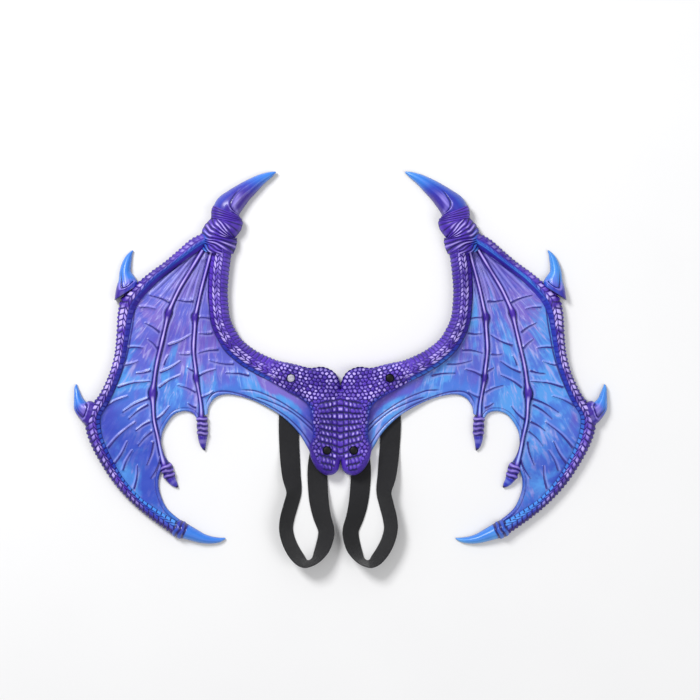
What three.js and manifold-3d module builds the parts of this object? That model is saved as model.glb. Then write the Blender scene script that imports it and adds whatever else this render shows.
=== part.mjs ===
// Costume dragon wings: one foam moulding with two elastic shoulder straps.
// The wings lie on their back. +X is to the right, +Y up towards the thumb claws, +Z out of the relief.
// The right half is modelled, and the left half mirrors it.

import * as THREE from 'three';
import { mergeVertices } from 'three/addons/utils/BufferGeometryUtils.js';
import Module from 'manifold-3d';

const wasm = await Module();
wasm.setup();

// Driving dimensions of the foam, in millimetres
const HALF_SPAN = 399;
const WING_HEIGHT = 562;
const MEMBRANE_THICKNESS = 6;
const PAD_HEIGHT = 21;
const PAD_ROUND = 5;
const UPPER_ARM_WIDTH = 30;
const UPPER_ARM_HEIGHT = 23;
const OUTER_ARM_WIDTH = 20;
const OUTER_ARM_HEIGHT = 18;
const CUFF_WIDTH = 48;
const CUFF_HEIGHT = 27;
const BONE_WIDTH = 8;
const BONE_HEIGHT = 11;
const FINGER_TIP_WIDTH = 17;
const FINGER_TIP_HEIGHT = 13;
const THUMB_CLAW_WIDTH = 40;
const THUMB_CLAW_HEIGHT = 23;
const OUTER_CLAW_WIDTH = 32;
const OUTER_CLAW_HEIGHT = 17;
const BOTTOM_CLAW_WIDTH = 26;
const BOTTOM_CLAW_HEIGHT = 17;
const VEIN_WIDTH = 4;
const VEIN_RISE = 1.6;
const RIM_WIDTH = 7;
const RIM_RISE = 1.5;
const RIM_INSET = 4.5;
const PLATE_WIDTH = 11.5;
const PLATE_LENGTH = 6.6;
const PLATE_PITCH = 8;
const PLATE_RISE = 1.2;

// Driving dimensions of the straps and their fixings
const STRAP_WIDTH = 30;
const STRAP_THICKNESS = 1.5;
const STRAP_DROP = 176;
const STRAP_END = 12;
const CAP_RADIUS = 5.7;
const CAP_HEIGHT = 2.4;
const CAP_SINK = 1.2;
const POST_RADIUS = 2.5;
const WASHER_RADIUS = 8;
const WASHER_THICKNESS = 1;
const FIXING_SIDES = 16;

// Clearances between pieces
const GAP = 0.3;
const FLOOR_GAP = 0.3;

// Where the strap and the foam's back lie over the fixings
const STRAP_SEAT = FLOOR_GAP + WASHER_THICKNESS + GAP;
const LIFT = STRAP_SEAT + STRAP_THICKNESS + GAP;

// Solids start this far below the floor, and the cut of the back trims them
const BELOW = -3;

// Rows of a table get their column names
const columns = (names, rows) =>
  rows.map((row) => Object.fromEntries(names.map((name, index) => [name, row[index]])));

// A place in percent of the half span and of the wing height, up from the bottom claw
const place = ({ across, up }) =>
  new THREE.Vector2((across * HALF_SPAN) / 100, (up * WING_HEIGHT) / 100);

// The foam arches over the straps: full lift over the pad, none from the wings outwards
const ARCH = columns(['across', 'share'], [[0, 1], [24, 1], [29, 0.6], [35, 0]]);

function lift(x) {
  const across = Math.min((Math.abs(x) * 100) / HALF_SPAN, ARCH.at(-1).across);
  const index = Math.max(1, ARCH.findIndex((row) => row.across >= across));
  const [from, to] = [ARCH[index - 1], ARCH[index]];
  const share = THREE.MathUtils.mapLinear(across, from.across, to.across, from.share, to.share);
  return LIFT * share;
}

// Relief sections, from the left side of travel to the right, with their rise as a share of the height
const ROUND = columns(['side', 'rise'], [
  [-1, 0.25], [-0.8, 0.62], [-0.4, 0.92], [0, 1], [0.4, 0.92], [0.8, 0.62], [1, 0.25],
]);
const BONE = columns(['side', 'rise'], [[-1, 0.5], [-0.55, 0.85], [0, 1], [0.55, 0.85], [1, 0.5]]);
const LOW = columns(['side', 'rise'], [[-1, 0], [0, 1], [1, 0]]);
const RIBS_LEFT = columns(['side', 'rise'], [
  [-1, 0.32], [-0.85, 0.62], [-0.5, 0.88], [-0.1, 1], [0.32, 0.96], [0.5, 0.78], [0.6, 0.6], [1, 0.4],
]);
const RIBS_RIGHT = RIBS_LEFT.map(({ side, rise }) => ({ side: -side, rise })).reverse();

// A smooth value at t between b and c, with a before and d after
function blend(a, b, c, d, t) {
  const into = (c - a) / 2;
  const outOf = (d - b) / 2;
  const t2 = t * t;
  const t3 = t2 * t;
  return b * (2 * t3 - 3 * t2 + 1) + into * (t3 - 2 * t2 + t) + c * (3 * t2 - 2 * t3) + outOf * (t3 - t2);
}

// Rows with steps - 1 more between each two, every column smoothed
function smoothed(rows, steps) {
  const names = Object.keys(rows[0]);
  const result = [];
  for (let index = 0; index < rows.length - 1; index += 1) {
    const near = [-1, 0, 1, 2].map((shift) => rows[THREE.MathUtils.clamp(index + shift, 0, rows.length - 1)]);
    for (let step = 0; step < steps; step += 1) {
      const value = (name) => blend(...near.map((row) => row[name]), step / steps);
      result.push(Object.fromEntries(names.map((name) => [name, value(name)])));
    }
  }
  result.push({ ...rows.at(-1) });
  return result;
}

// The unit vector to the right of travel at each point of a path in plan
function rightOfTravel(points) {
  return points.map((point, index) => {
    const before = points[Math.max(index - 1, 0)];
    const after = points[Math.min(index + 1, points.length - 1)];
    const along = after.clone().sub(before).normalize();
    return new THREE.Vector2(along.y, -along.x);
  });
}

function signedVolume(geometry) {
  const { position } = geometry.attributes;
  const corners = [0, 1, 2].map(() => new THREE.Vector3());
  let volume = 0;
  for (let face = 0; face < geometry.index.count; face += 3) {
    corners.forEach((corner, index) => {
      corner.fromBufferAttribute(position, geometry.index.getX(face + index));
    });
    volume += corners[0].dot(corners[1].clone().cross(corners[2])) / 6;
  }
  return volume;
}

function turnedInsideOut(geometry) {
  const { index } = geometry;
  for (let face = 0; face < index.count; face += 3) {
    const second = index.getX(face + 1);
    index.setX(face + 1, index.getX(face + 2));
    index.setX(face + 2, second);
  }
  return geometry;
}

// A closed solid through rings of points, closed at both ends by the triangles of the flat section
function loft(rings, section) {
  const count = rings[0].length;
  const last = (rings.length - 1) * count;
  const faces = [];
  for (let level = 0; level < rings.length - 1; level += 1) {
    for (let side = 0; side < count; side += 1) {
      const here = level * count + side;
      const next = level * count + ((side + 1) % count);
      faces.push(here, next, here + count, next, next + count, here + count);
    }
  }
  const winding = Math.sign(THREE.ShapeUtils.area(section));
  for (const face of THREE.ShapeUtils.triangulateShape(section, [])) {
    const follows = Math.sign(THREE.ShapeUtils.area(face.map((corner) => section[corner]))) === winding;
    const [a, b, c] = follows ? face : [...face].reverse();
    faces.push(a, c, b, last + a, last + b, last + c);
  }
  const geometry = new THREE.BufferGeometry();
  const positions = rings.flat().flatMap((point) => [point.x, point.y, point.z]);
  geometry.setAttribute('position', new THREE.Float32BufferAttribute(positions, 3));
  geometry.setIndex(faces);
  return signedVolume(geometry) < 0 ? turnedInsideOut(geometry) : geometry;
}

// A relief ridge along a path: each row gives its place and its width and height as shares
function ridge({ rows, width, height, profile, steps = 1, base = 0 }) {
  const stations = smoothed(rows, steps);
  const points = stations.map(place);
  const rights = rightOfTravel(points);
  const section = [{ side: -1, deep: true }, ...profile, { side: 1, deep: true }];
  const rings = stations.map((station, index) =>
    section.map(({ side, rise, deep }) => {
      const reach = (side * station.wide * width) / 2;
      const spot = points[index].clone().addScaledVector(rights[index], reach);
      const top = lift(points[index].x) + base + rise * station.high * height;
      return new THREE.Vector3(spot.x, spot.y, deep ? BELOW : top);
    }),
  );
  const flat = section.map(({ side, rise, deep }) => new THREE.Vector2(side, deep ? -1 : rise));
  return loft(rings, flat);
}

function toManifold(geometry) {
  const bare = geometry.clone();
  bare.deleteAttribute('normal');
  bare.deleteAttribute('uv');
  const merged = mergeVertices(bare, 1e-4);
  const vertProperties = new Float32Array(merged.attributes.position.array);
  const triVerts = new Uint32Array(merged.index.array);
  return new wasm.Manifold(new wasm.Mesh({ numProp: 3, vertProperties, triVerts }));
}

function toGeometry(solid) {
  const mesh = solid.getMesh();
  const geometry = new THREE.BufferGeometry();
  geometry.setAttribute('position', new THREE.Float32BufferAttribute(mesh.vertProperties, 3));
  geometry.setIndex(Array.from(mesh.triVerts));
  return geometry;
}

const joined = (geometries) => geometries.map(toManifold).reduce((whole, part) => whole.add(part));

const mirrored = (geometry) => turnedInsideOut(geometry.clone().scale(-1, 1, 1));

// A prism that stands over an outline in plan
function prism(shape, bottom, top, curveSegments = 2) {
  const geometry = new THREE.ExtrudeGeometry(shape, {
    depth: top - bottom,
    bevelEnabled: false,
    curveSegments,
  });
  return geometry.translate(0, 0, bottom);
}

function disc(radius, bottom, top, centre, sides = FIXING_SIDES) {
  const geometry = new THREE.CylinderGeometry(radius, radius, top - bottom, sides);
  geometry.rotateX(Math.PI / 2);
  return geometry.translate(centre.x, centre.y, (bottom + top) / 2);
}

// Edges of the membrane, from the outer arm to the middle: three scallops and the lobe
const OUTER_SCALLOP = columns(['across', 'up'], [
  [60, 6.8], [65.2, 10.1], [67.9, 14.4], [68.2, 18], [66.6, 21.6],
]);
const MIDDLE_SCALLOP = columns(['across', 'up'], [
  [63.7, 21.4], [66.3, 24.6], [67.3, 27.6], [66.5, 31], [63, 34.7], [59.2, 35.9], [55.8, 35.5], [54.2, 34.2],
]);
const TRAILING_EDGE = columns(['across', 'up'], [
  [49.9, 35.2], [49.3, 37.4], [46.8, 39.6], [42.6, 40.4], [36, 39.6], [29.9, 37.9], [22.4, 34.8],
  [16.2, 30.6], [12.4, 26.3],
]);
const LOBE = columns(['across', 'up'], [
  [12.4, 26.3], [11.1, 23.8], [8.5, 20.5], [5.5, 19.1], [2.4, 19.4], [0.8, 20.2], [0, 21.9],
]);

// The hidden side of the membrane runs under the arms
const UNDER_ARMS = columns(['across', 'up'], [
  [0, 38], [12, 42], [25.8, 46.7], [39.7, 53.1], [44.9, 60.3], [46.1, 68.3], [46, 79.5], [52, 80.4],
  [57.3, 78.9], [67.5, 73.1], [77, 67.5], [80.8, 62], [81.8, 54.9], [83.6, 48.3], [87.5, 41], [91.9, 35],
  [92.2, 29.8], [88.2, 22.6], [80.6, 15.3], [71.2, 9.5], [61.8, 5],
]);

// Half widths this far past the middle line make the two halves overlap
const PAST_MIDDLE = new THREE.Vector2(-6, 0);

function membraneShape() {
  const shape = new THREE.Shape();
  const start = place(LOBE.at(-1)).add(PAST_MIDDLE);
  shape.moveTo(start.x, start.y);
  const top = place(UNDER_ARMS[0]).add(PAST_MIDDLE);
  shape.lineTo(top.x, top.y);
  UNDER_ARMS.map(place).forEach((point) => shape.lineTo(point.x, point.y));
  for (const edge of [OUTER_SCALLOP, MIDDLE_SCALLOP, TRAILING_EDGE, LOBE]) {
    const points = edge.map(place);
    shape.lineTo(points[0].x, points[0].y);
    shape.splineThru(points.slice(1));
  }
  return shape;
}

// A slab in the XZ plane that follows the arch, between two heights over it
function archedSlab(bottom, top) {
  const spots = [...ARCH].reverse().map((row) => -row.across).concat(ARCH.map((row) => row.across));
  const xs = [-110, ...spots, 110].map((across) => (across * HALF_SPAN) / 100);
  const shape = new THREE.Shape();
  shape.moveTo(xs[0], bottom(xs[0]));
  xs.slice(1).forEach((x) => shape.lineTo(x, bottom(x)));
  [...xs].reverse().forEach((x) => shape.lineTo(x, top(x)));
  const depth = WING_HEIGHT * 1.4;
  const geometry = new THREE.ExtrudeGeometry(shape, { depth, bevelEnabled: false });
  geometry.rotateX(Math.PI / 2);
  return geometry.translate(0, WING_HEIGHT * 1.2, 0);
}

function membrane() {
  const outline = prism(membraneShape(), BELOW, LIFT + MEMBRANE_THICKNESS * 2);
  const slab = archedSlab(() => BELOW * 2, (x) => lift(x) + MEMBRANE_THICKNESS);
  return toGeometry(toManifold(outline).intersect(toManifold(slab)));
}

// Raised veins between the bones, each a low roof that narrows to its far end
const VEINS = columns(['fromAcross', 'fromUp', 'toAcross', 'toUp'], [
  [47.6, 56.8, 53.2, 56.7], [45.3, 52.3, 53.2, 51.5], [39.3, 48.5, 49.4, 49.5], [33.6, 45.3, 43, 46.1],
  [46.8, 47.1, 53.2, 45.3], [47.6, 41.3, 52.4, 39.5], [54.7, 65.3, 61.1, 65.6], [56.2, 56.3, 65.2, 53.3],
  [56.2, 51.2, 60.7, 51.2], [60, 49.3, 68.2, 46.1], [60, 45.6, 68.6, 41.9], [53.9, 40.8, 61.1, 42.9],
  [53.9, 36.8, 57.3, 38.1], [63, 64.5, 72, 66.9], [69.4, 63.2, 75.8, 63.6], [67.5, 56.8, 73.5, 59.5],
  [73.9, 52.8, 80.3, 52.8], [75.8, 49.3, 82.1, 48.1], [71.6, 43.9, 84.4, 42.1], [71.2, 39.5, 81.8, 35.7],
  [79.5, 40, 88.2, 37.1], [71.6, 37.9, 79.5, 33.9], [76.9, 33.1, 87.8, 25.6], [70.1, 30.9, 76.1, 26.7],
  [70.1, 28.3, 72.7, 21.6], [79.9, 28, 85.2, 21.6], [78, 25.6, 81.8, 19.7], [76.1, 21.6, 77.6, 14.9],
  [67.1, 24.3, 71.2, 18.1],
]);

function vein({ fromAcross, fromUp, toAcross, toUp }) {
  const rows = [
    { across: fromAcross, up: fromUp, wide: 1, high: 1 },
    { across: toAcross, up: toUp, wide: 0.6, high: 0.8 },
  ];
  return ridge({ rows, width: VEIN_WIDTH, height: VEIN_RISE, profile: LOW, base: MEMBRANE_THICKNESS });
}

// A raised rim inside an edge of the membrane
function rim(edge) {
  const points = edge.map(place);
  const rights = rightOfTravel(points);
  const rows = points.map((point, index) => {
    const spot = point.clone().addScaledVector(rights[index], RIM_INSET);
    const ending = index === 0 || index === points.length - 1;
    return {
      across: (spot.x * 100) / HALF_SPAN,
      up: (spot.y * 100) / WING_HEIGHT,
      wide: ending ? 0.6 : 1,
      high: 1,
    };
  });
  return ridge({
    rows,
    width: RIM_WIDTH,
    height: RIM_RISE,
    profile: LOW,
    base: MEMBRANE_THICKNESS,
    steps: 2,
  });
}

// The upper arm, from the cuff down round the bend into the pad
const UPPER_ARM = columns(['across', 'up', 'wide', 'high'], [
  [44.8, 80.5, 0.9, 1], [44.6, 78.1, 0.94, 1], [45.5, 73.1, 0.96, 1], [45.9, 67.7, 0.93, 0.98],
  [45.4, 62.3, 0.93, 0.98], [44.7, 59.6, 0.95, 0.98], [43, 56.8, 0.96, 0.98], [39.8, 53.3, 0.97, 0.98],
  [33.6, 49.8, 0.98, 0.98], [25.9, 47, 1.06, 0.96], [19.1, 45.1, 1.36, 0.94], [12.7, 43.1, 1.86, 0.92],
  [7.3, 41.5, 1.98, 0.88],
]);

function upperArm() {
  return ridge({
    rows: UPPER_ARM,
    width: UPPER_ARM_WIDTH,
    height: UPPER_ARM_HEIGHT,
    profile: RIBS_RIGHT,
    steps: 2,
  });
}

// The outer arm, from the cuff round the elbow and the lower bend to the bottom claw
const OUTER_ARM = columns(['across', 'up', 'wide', 'high'], [
  [50.2, 82, 0.95, 1], [54.7, 80.2, 1.05, 1], [59.6, 77.5, 0.9, 0.95], [65, 74.5, 0.8, 0.92],
  [69.7, 72, 0.85, 0.92], [74.2, 69.1, 0.98, 0.95], [78.8, 65.6, 1.27, 1], [80.6, 62.1, 1.15, 1],
  [81.6, 56.8, 0.95, 0.95], [82.7, 50.9, 0.83, 0.9], [85, 45.3, 0.78, 0.9], [88.5, 39.7, 0.88, 0.95],
  [92.3, 35.5, 1.05, 1], [92.9, 32, 1.12, 1], [91.2, 27.5, 1, 0.95], [87.4, 22.1, 0.88, 0.9],
  [82.5, 16.8, 0.78, 0.85], [76.1, 11.9, 0.73, 0.85], [69, 8.1, 0.85, 0.88], [61.8, 4.8, 0.97, 0.92],
]);

function outerArm() {
  return ridge({
    rows: OUTER_ARM,
    width: OUTER_ARM_WIDTH,
    height: OUTER_ARM_HEIGHT,
    profile: RIBS_LEFT,
    steps: 2,
  });
}

// The ringed cuff: rings and the grooves between them, from the thumb claw down
const CUFF = columns(['across', 'up', 'wide', 'high'], [
  [42.7, 89.6, 0.82, 0.85], [42.7, 88.7, 0.97, 0.93], [42.8, 87.6, 0.92, 0.85], [43, 86.2, 1.06, 1],
  [43.5, 85.4, 1.02, 0.98], [44.4, 84.7, 0.95, 0.86], [45.2, 83.7, 1.07, 1], [45.5, 82.5, 1.02, 0.88],
  [45.8, 81.2, 1.18, 1], [46.2, 79.7, 1.06, 0.88], [46.5, 78.8, 0.94, 0.95], [46.4, 78, 0.84, 0.9],
]);

const THUMB_CLAW = columns(['across', 'up', 'wide', 'high'], [
  [43, 88.8, 0.95, 1], [42, 90.5, 1.06, 1], [39.1, 92.6, 0.84, 0.9], [36.4, 94.3, 0.7, 0.8],
  [33.5, 95.9, 0.58, 0.7], [29.9, 97.7, 0.4, 0.52], [26.7, 98.9, 0.24, 0.36], [24.3, 99.7, 0.06, 0.2],
]);

const UPPER_OUTER_CLAW = columns(['across', 'up', 'wide', 'high'], [
  [81, 65.3, 0.9, 1], [80.5, 68, 1.04, 1], [80.2, 70.4, 0.84, 0.95], [80.8, 72.9, 0.56, 0.8],
  [80.5, 74.8, 0.45, 0.65], [79.7, 76.7, 0.33, 0.5], [78.9, 77.9, 0.19, 0.36], [78, 78.8, 0.06, 0.22],
]);

const LOWER_OUTER_CLAW = columns(['across', 'up', 'wide', 'high'], [
  [91.9, 34.4, 0.8, 1], [94.5, 35.6, 0.9, 1], [97.2, 37, 0.73, 0.95], [98.4, 39, 0.45, 0.8],
  [98.9, 40.7, 0.31, 0.62], [99.3, 42.2, 0.18, 0.42], [99.2, 43.1, 0.06, 0.22],
]);

const BOTTOM_CLAW = columns(['across', 'up', 'wide', 'high'], [
  [62.2, 5.2, 0.9, 1.05], [60, 4.4, 1, 1.1], [58.5, 4, 0.88, 0.95], [56.5, 3.4, 0.78, 0.9],
  [54.2, 2.7, 0.68, 0.8], [51.6, 2, 0.55, 0.68], [48.6, 1.6, 0.42, 0.54], [45.6, 1.6, 0.28, 0.4],
  [43.3, 2, 0.08, 0.22],
]);

const claw = (rows, width, height) => ridge({ rows, width, height, profile: ROUND });

// Finger bones, each from the cuff to its tip, with a knuckle where they widen
const INNER_BONE = columns(['across', 'up', 'wide', 'high'], [
  [47.9, 80, 1, 1], [49.8, 74.9, 1, 1], [52.1, 68.8, 0.95, 1], [53.9, 63, 0.95, 1], [54.6, 61.1, 1.6, 1.2],
  [54.6, 58.8, 0.95, 1], [55.1, 52.3, 0.95, 1], [54.3, 46.9, 0.85, 1], [54.1, 44.8, 1.25, 1.15],
  [53.4, 42.1, 0.85, 1], [52.4, 37.9, 0.9, 1], [52.1, 33.8, 1.2, 1],
]);
const OUTER_BONE = columns(['across', 'up', 'wide', 'high'], [
  [51.7, 78.9, 1, 1], [56.2, 73.6, 1, 1], [60.3, 68.8, 1, 1], [63.4, 64.2, 1, 1], [64.5, 62.1, 1.7, 1.2],
  [65.4, 59.3, 1, 1], [67.1, 54.1, 1, 1], [69, 48.3, 1, 1], [70.1, 43.4, 1, 1], [70.5, 40.8, 1.9, 1.25],
  [70.3, 38, 1, 1], [69.9, 33.6, 1, 1], [68.6, 29.3, 1, 1], [67.3, 24.8, 1.1, 1], [65.8, 21, 1.6, 1],
]);

const INNER_FINGER_TIP = columns(['across', 'up', 'wide', 'high'], [
  [52.1, 34.6, 0.8, 0.8], [52, 33.7, 1, 1], [51.9, 32.9, 0.86, 0.9], [51.9, 32, 1.02, 1],
  [51.8, 31.2, 0.86, 0.9], [51.8, 30.5, 0.98, 1], [51.8, 29.9, 0.92, 0.9], [51.8, 28, 0.68, 0.75],
  [51.5, 26.5, 0.42, 0.5], [51, 25.5, 0.1, 0.28],
]);
const OUTER_FINGER_TIP = columns(['across', 'up', 'wide', 'high'], [
  [66, 21.8, 0.9, 0.85], [65.2, 20.7, 1.1, 1], [64.8, 19.7, 0.96, 0.9], [64.3, 18.8, 1.04, 1],
  [63.7, 17.9, 0.82, 0.88], [63, 17.1, 0.68, 0.75], [61.9, 16.2, 0.42, 0.5], [61.1, 15.6, 0.1, 0.28],
]);

const bone = (rows) => ridge({ rows, width: BONE_WIDTH, height: BONE_HEIGHT, profile: BONE });
const fingerTip = (rows) => claw(rows, FINGER_TIP_WIDTH, FINGER_TIP_HEIGHT);

// The centre pad: its outline from the V notch round to the slit between the lobes
const PAD = columns(['across', 'up'], [
  [0, 41.9], [0.7, 44.2], [2.1, 46], [4.2, 47.1], [7.3, 47.7], [11.5, 47], [13.3, 42], [11.6, 36.5],
  [10.8, 31.5], [9.6, 30], [9.3, 25.5], [9, 22.4], [7.6, 20.6], [5.4, 19.5], [2.7, 19.6], [1, 20.4],
  [0.3, 21.9],
]);

function pad() {
  const points = PAD.map(place);
  points.push(points.at(-1).clone().add(PAST_MIDDLE));
  points.push(points[0].clone().add(PAST_MIDDLE));
  const geometry = new THREE.ExtrudeGeometry(new THREE.Shape(points), {
    depth: PAD_HEIGHT - PAD_ROUND,
    bevelThickness: PAD_ROUND,
    bevelSize: PAD_ROUND / 2,
    bevelOffset: -PAD_ROUND / 2,
    bevelSegments: 2,
  });
  return geometry.translate(0, 0, LIFT);
}

// Square plates in a column over the middle line, between the notch and the slit
function middlePlates() {
  const top = place(PAD[0]).y - PLATE_PITCH;
  const bottom = place(PAD.at(-1)).y + PLATE_PITCH;
  const count = Math.floor((top - bottom) / PLATE_PITCH);
  const height = PAD_HEIGHT / 2;
  return Array.from({ length: count }, (_, index) => {
    const plate = new THREE.BoxGeometry(PLATE_WIDTH, PLATE_LENGTH, height);
    const y = top - (index + 0.5) * PLATE_PITCH;
    return plate.translate(0, y, LIFT + PAD_HEIGHT + PLATE_RISE - height / 2);
  });
}

function halfWing() {
  const parts = [
    membrane(),
    pad(),
    upperArm(),
    outerArm(),
    claw(CUFF, CUFF_WIDTH, CUFF_HEIGHT),
    claw(THUMB_CLAW, THUMB_CLAW_WIDTH, THUMB_CLAW_HEIGHT),
    claw(UPPER_OUTER_CLAW, OUTER_CLAW_WIDTH, OUTER_CLAW_HEIGHT),
    claw(LOWER_OUTER_CLAW, OUTER_CLAW_WIDTH, OUTER_CLAW_HEIGHT),
    claw(BOTTOM_CLAW, BOTTOM_CLAW_WIDTH, BOTTOM_CLAW_HEIGHT),
    bone(INNER_BONE),
    bone(OUTER_BONE),
    fingerTip(INNER_FINGER_TIP),
    fingerTip(OUTER_FINGER_TIP),
    ...[OUTER_SCALLOP, MIDDLE_SCALLOP, TRAILING_EDGE].map(rim),
    ...VEINS.map(vein),
  ];
  return toGeometry(joined(parts));
}

// Places of the fixings, and how high the foam's face is there
const FIXINGS = columns(['name', 'across', 'up', 'face'], [
  ['upper', 18.5, 44.8, UPPER_ARM_HEIGHT * 0.9],
  ['lower', 5, 25.6, PAD_HEIGHT],
]);
const SIDES = columns(['name', 'sign', 'sway'], [['left', -1, 0], ['right', 1, 7.5]]);

const fixingCentre = (fixing, side) => place(fixing).multiply(new THREE.Vector2(side.sign, 1));
const capSeat = (fixing) => LIFT + fixing.face - CAP_SINK;

function wings() {
  const half = halfWing();
  let foam = joined([half, mirrored(half), ...middlePlates()]);
  const underside = archedSlab(() => BELOW * 3, (x) => lift(x));
  foam = foam.subtract(toManifold(underside));
  for (const side of SIDES) {
    for (const fixing of FIXINGS) {
      const centre = fixingCentre(fixing, side);
      const bore = disc(POST_RADIUS + GAP, BELOW, capSeat(fixing) + CAP_HEIGHT, centre, 12);
      const recess = disc(CAP_RADIUS + GAP, capSeat(fixing), LIFT + PAD_HEIGHT * 2, centre);
      foam = foam.subtract(toManifold(bore)).subtract(toManifold(recess));
    }
  }
  return toGeometry(foam);
}

// The free loop of a strap. aside runs from under the upper fixing (0) to under the lower one (1), and down
// from the lower fixing's level (0) to the loop's lowest point (1). lean turns the band from flat (0 degrees)
// to upright on its outer edge, and seat is its share of the seat under the fixings. A strap's sway, in
// millimetres, is how far its loop lies towards the middle.
const LOOP = columns(['aside', 'down', 'lean', 'seat'], [
  [-0.05, -0.4, 0, 1], [-0.07, -0.2, 0, 0.6], [-0.05, 0, 2, 0], [0, 0.21, 22, 0], [0.07, 0.35, 42, 0],
  [-0.01, 0.46, 44, 0], [-0.11, 0.57, 45, 0], [-0.15, 0.67, 48, 0], [-0.08, 0.77, 49, 0],
  [0.06, 0.86, 50, 0], [0.23, 0.93, 56, 0], [0.375, 0.965, 68, 0], [0.52, 0.965, 75, 0],
  [0.66, 0.94, 70, 0], [0.77, 0.895, 57, 0], [0.89, 0.825, 43, 0], [0.97, 0.74, 38, 0],
  [0.975, 0.67, 35, 0], [0.86, 0.56, 26, 0], [0.78, 0.44, 15, 0], [0.74, 0.3, 4, 0], [0.73, 0.18, 0, 0.5],
  [0.76, 0.085, 0, 1], [0.81, 0.015, 0, 1], [0.9, -0.04, 0, 1],
]);

function strapStations(sway) {
  const [upper, lower] = FIXINGS.map(place);
  const loop = LOOP.map(({ aside, down, lean, seat }) => ({
    x: THREE.MathUtils.lerp(upper.x, lower.x, aside) - sway * Math.max(0.4 + 0.6 * down, 0),
    y: lower.y - down * STRAP_DROP,
    lean,
    seat,
  }));
  const first = { x: upper.x, y: upper.y + STRAP_END, lean: 0, seat: 1 };
  const tip = new THREE.Vector2(loop.at(-1).x, loop.at(-1).y);
  const onwards = tip.clone().sub(new THREE.Vector2(loop.at(-2).x, loop.at(-2).y)).setLength(STRAP_END);
  const last = { x: tip.x + onwards.x, y: tip.y + onwards.y, lean: 0, seat: 1 };
  return smoothed([first, ...loop, last], 2);
}

// The band stands on its outer edge where it leans, and its inner edge rises towards the loop's inside
function strapBand(sway) {
  const stations = strapStations(sway);
  const points = stations.map(({ x, y }) => new THREE.Vector2(x, y));
  const rights = rightOfTravel(points);
  const corners = columns(['wide', 'thick'], [[-1, 0], [1, 0], [1, 1], [-1, 1]]);
  const rings = stations.map(({ lean, seat }, index) => {
    const angle = THREE.MathUtils.degToRad(Math.max(lean, 0));
    return corners.map(({ wide, thick }) => {
      const over = (wide * STRAP_WIDTH * Math.cos(angle)) / 2 + thick * STRAP_THICKNESS * Math.sin(angle);
      const edge = ((1 - wide) / 2) * STRAP_WIDTH * Math.sin(angle);
      const z = Math.max(seat, 0) * STRAP_SEAT + edge + thick * STRAP_THICKNESS * Math.cos(angle);
      const spot = points[index].clone().addScaledVector(rights[index], over);
      return new THREE.Vector3(spot.x, spot.y, z);
    });
  });
  return loft(rings, corners.map(({ wide, thick }) => new THREE.Vector2(wide, thick)));
}

function strap(side) {
  let band = toManifold(strapBand(side.sway));
  for (const fixing of FIXINGS) {
    const eyelet = disc(POST_RADIUS + GAP, BELOW, LIFT * 2, place(fixing), 12);
    band = band.subtract(toManifold(eyelet));
  }
  const geometry = toGeometry(band);
  return side.sign < 0 ? mirrored(geometry) : geometry;
}

// A round piece turned from its profile, standing on a centre in plan
function turned(profile, centre) {
  const outline = profile.map(({ radius, z }) => new THREE.Vector2(radius, z));
  const geometry = new THREE.LatheGeometry(outline, FIXING_SIDES);
  return geometry.rotateX(Math.PI / 2).translate(centre.x, centre.y, 0);
}

// A fixing: a domed cap in its recess, and the post that goes down through foam, strap and washer
function capAndPost(fixing, side) {
  const seat = capSeat(fixing) + GAP;
  const profile = columns(['radius', 'z'], [
    [0, FLOOR_GAP], [POST_RADIUS, FLOOR_GAP], [POST_RADIUS, seat], [CAP_RADIUS, seat],
    [CAP_RADIUS, seat + CAP_HEIGHT * 0.5], [CAP_RADIUS * 0.75, seat + CAP_HEIGHT * 0.88],
    [0, seat + CAP_HEIGHT],
  ]);
  return turned(profile, fixingCentre(fixing, side));
}

function washer(fixing, side) {
  const inner = POST_RADIUS + GAP;
  const bottom = FLOOR_GAP;
  const top = FLOOR_GAP + WASHER_THICKNESS;
  const profile = columns(['radius', 'z'], [
    [inner, bottom], [WASHER_RADIUS, bottom], [WASHER_RADIUS, top], [inner, top], [inner, bottom],
  ]);
  return turned(profile, fixingCentre(fixing, side));
}

const material = (color, roughness, metalness = 0) =>
  new THREE.MeshStandardMaterial({ color, roughness, metalness });
const foamMaterial = material('#3a35a8', 0.45);
const elasticMaterial = material('#1f1f21', 0.85);
const blackCapMaterial = material('#17171c', 0.4);
const paleCapMaterial = material('#aaa6b8', 0.4, 0.3);

function named(name, geometry, look) {
  const mesh = new THREE.Mesh(geometry, look);
  mesh.name = name;
  return mesh;
}

const group = new THREE.Group();
group.add(named('wings', wings(), foamMaterial));
for (const side of SIDES) {
  group.add(named(`${side.name}_strap`, strap(side), elasticMaterial));
  for (const fixing of FIXINGS) {
    const pale = side.name === 'left' && fixing.name === 'upper';
    const look = pale ? paleCapMaterial : blackCapMaterial;
    group.add(named(`${side.name}_${fixing.name}_fixing`, capAndPost(fixing, side), look));
    group.add(named(`${side.name}_${fixing.name}_washer`, washer(fixing, side), blackCapMaterial));
  }
}

// The origin is under the middle of the whole part, on the surface that it lies on
const box = new THREE.Box3().setFromObject(group);
const middle = box.getCenter(new THREE.Vector3());
group.position.set(-middle.x, -middle.y, -box.min.z);
group.updateMatrixWorld(true);

export default group;
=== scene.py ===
# Costume dragon wings: a painted foam moulding with elastic shoulder straps, lying on its back.
import math

import bpy
import numpy as np
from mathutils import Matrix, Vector
from mathutils.kdtree import KDTree


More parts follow.
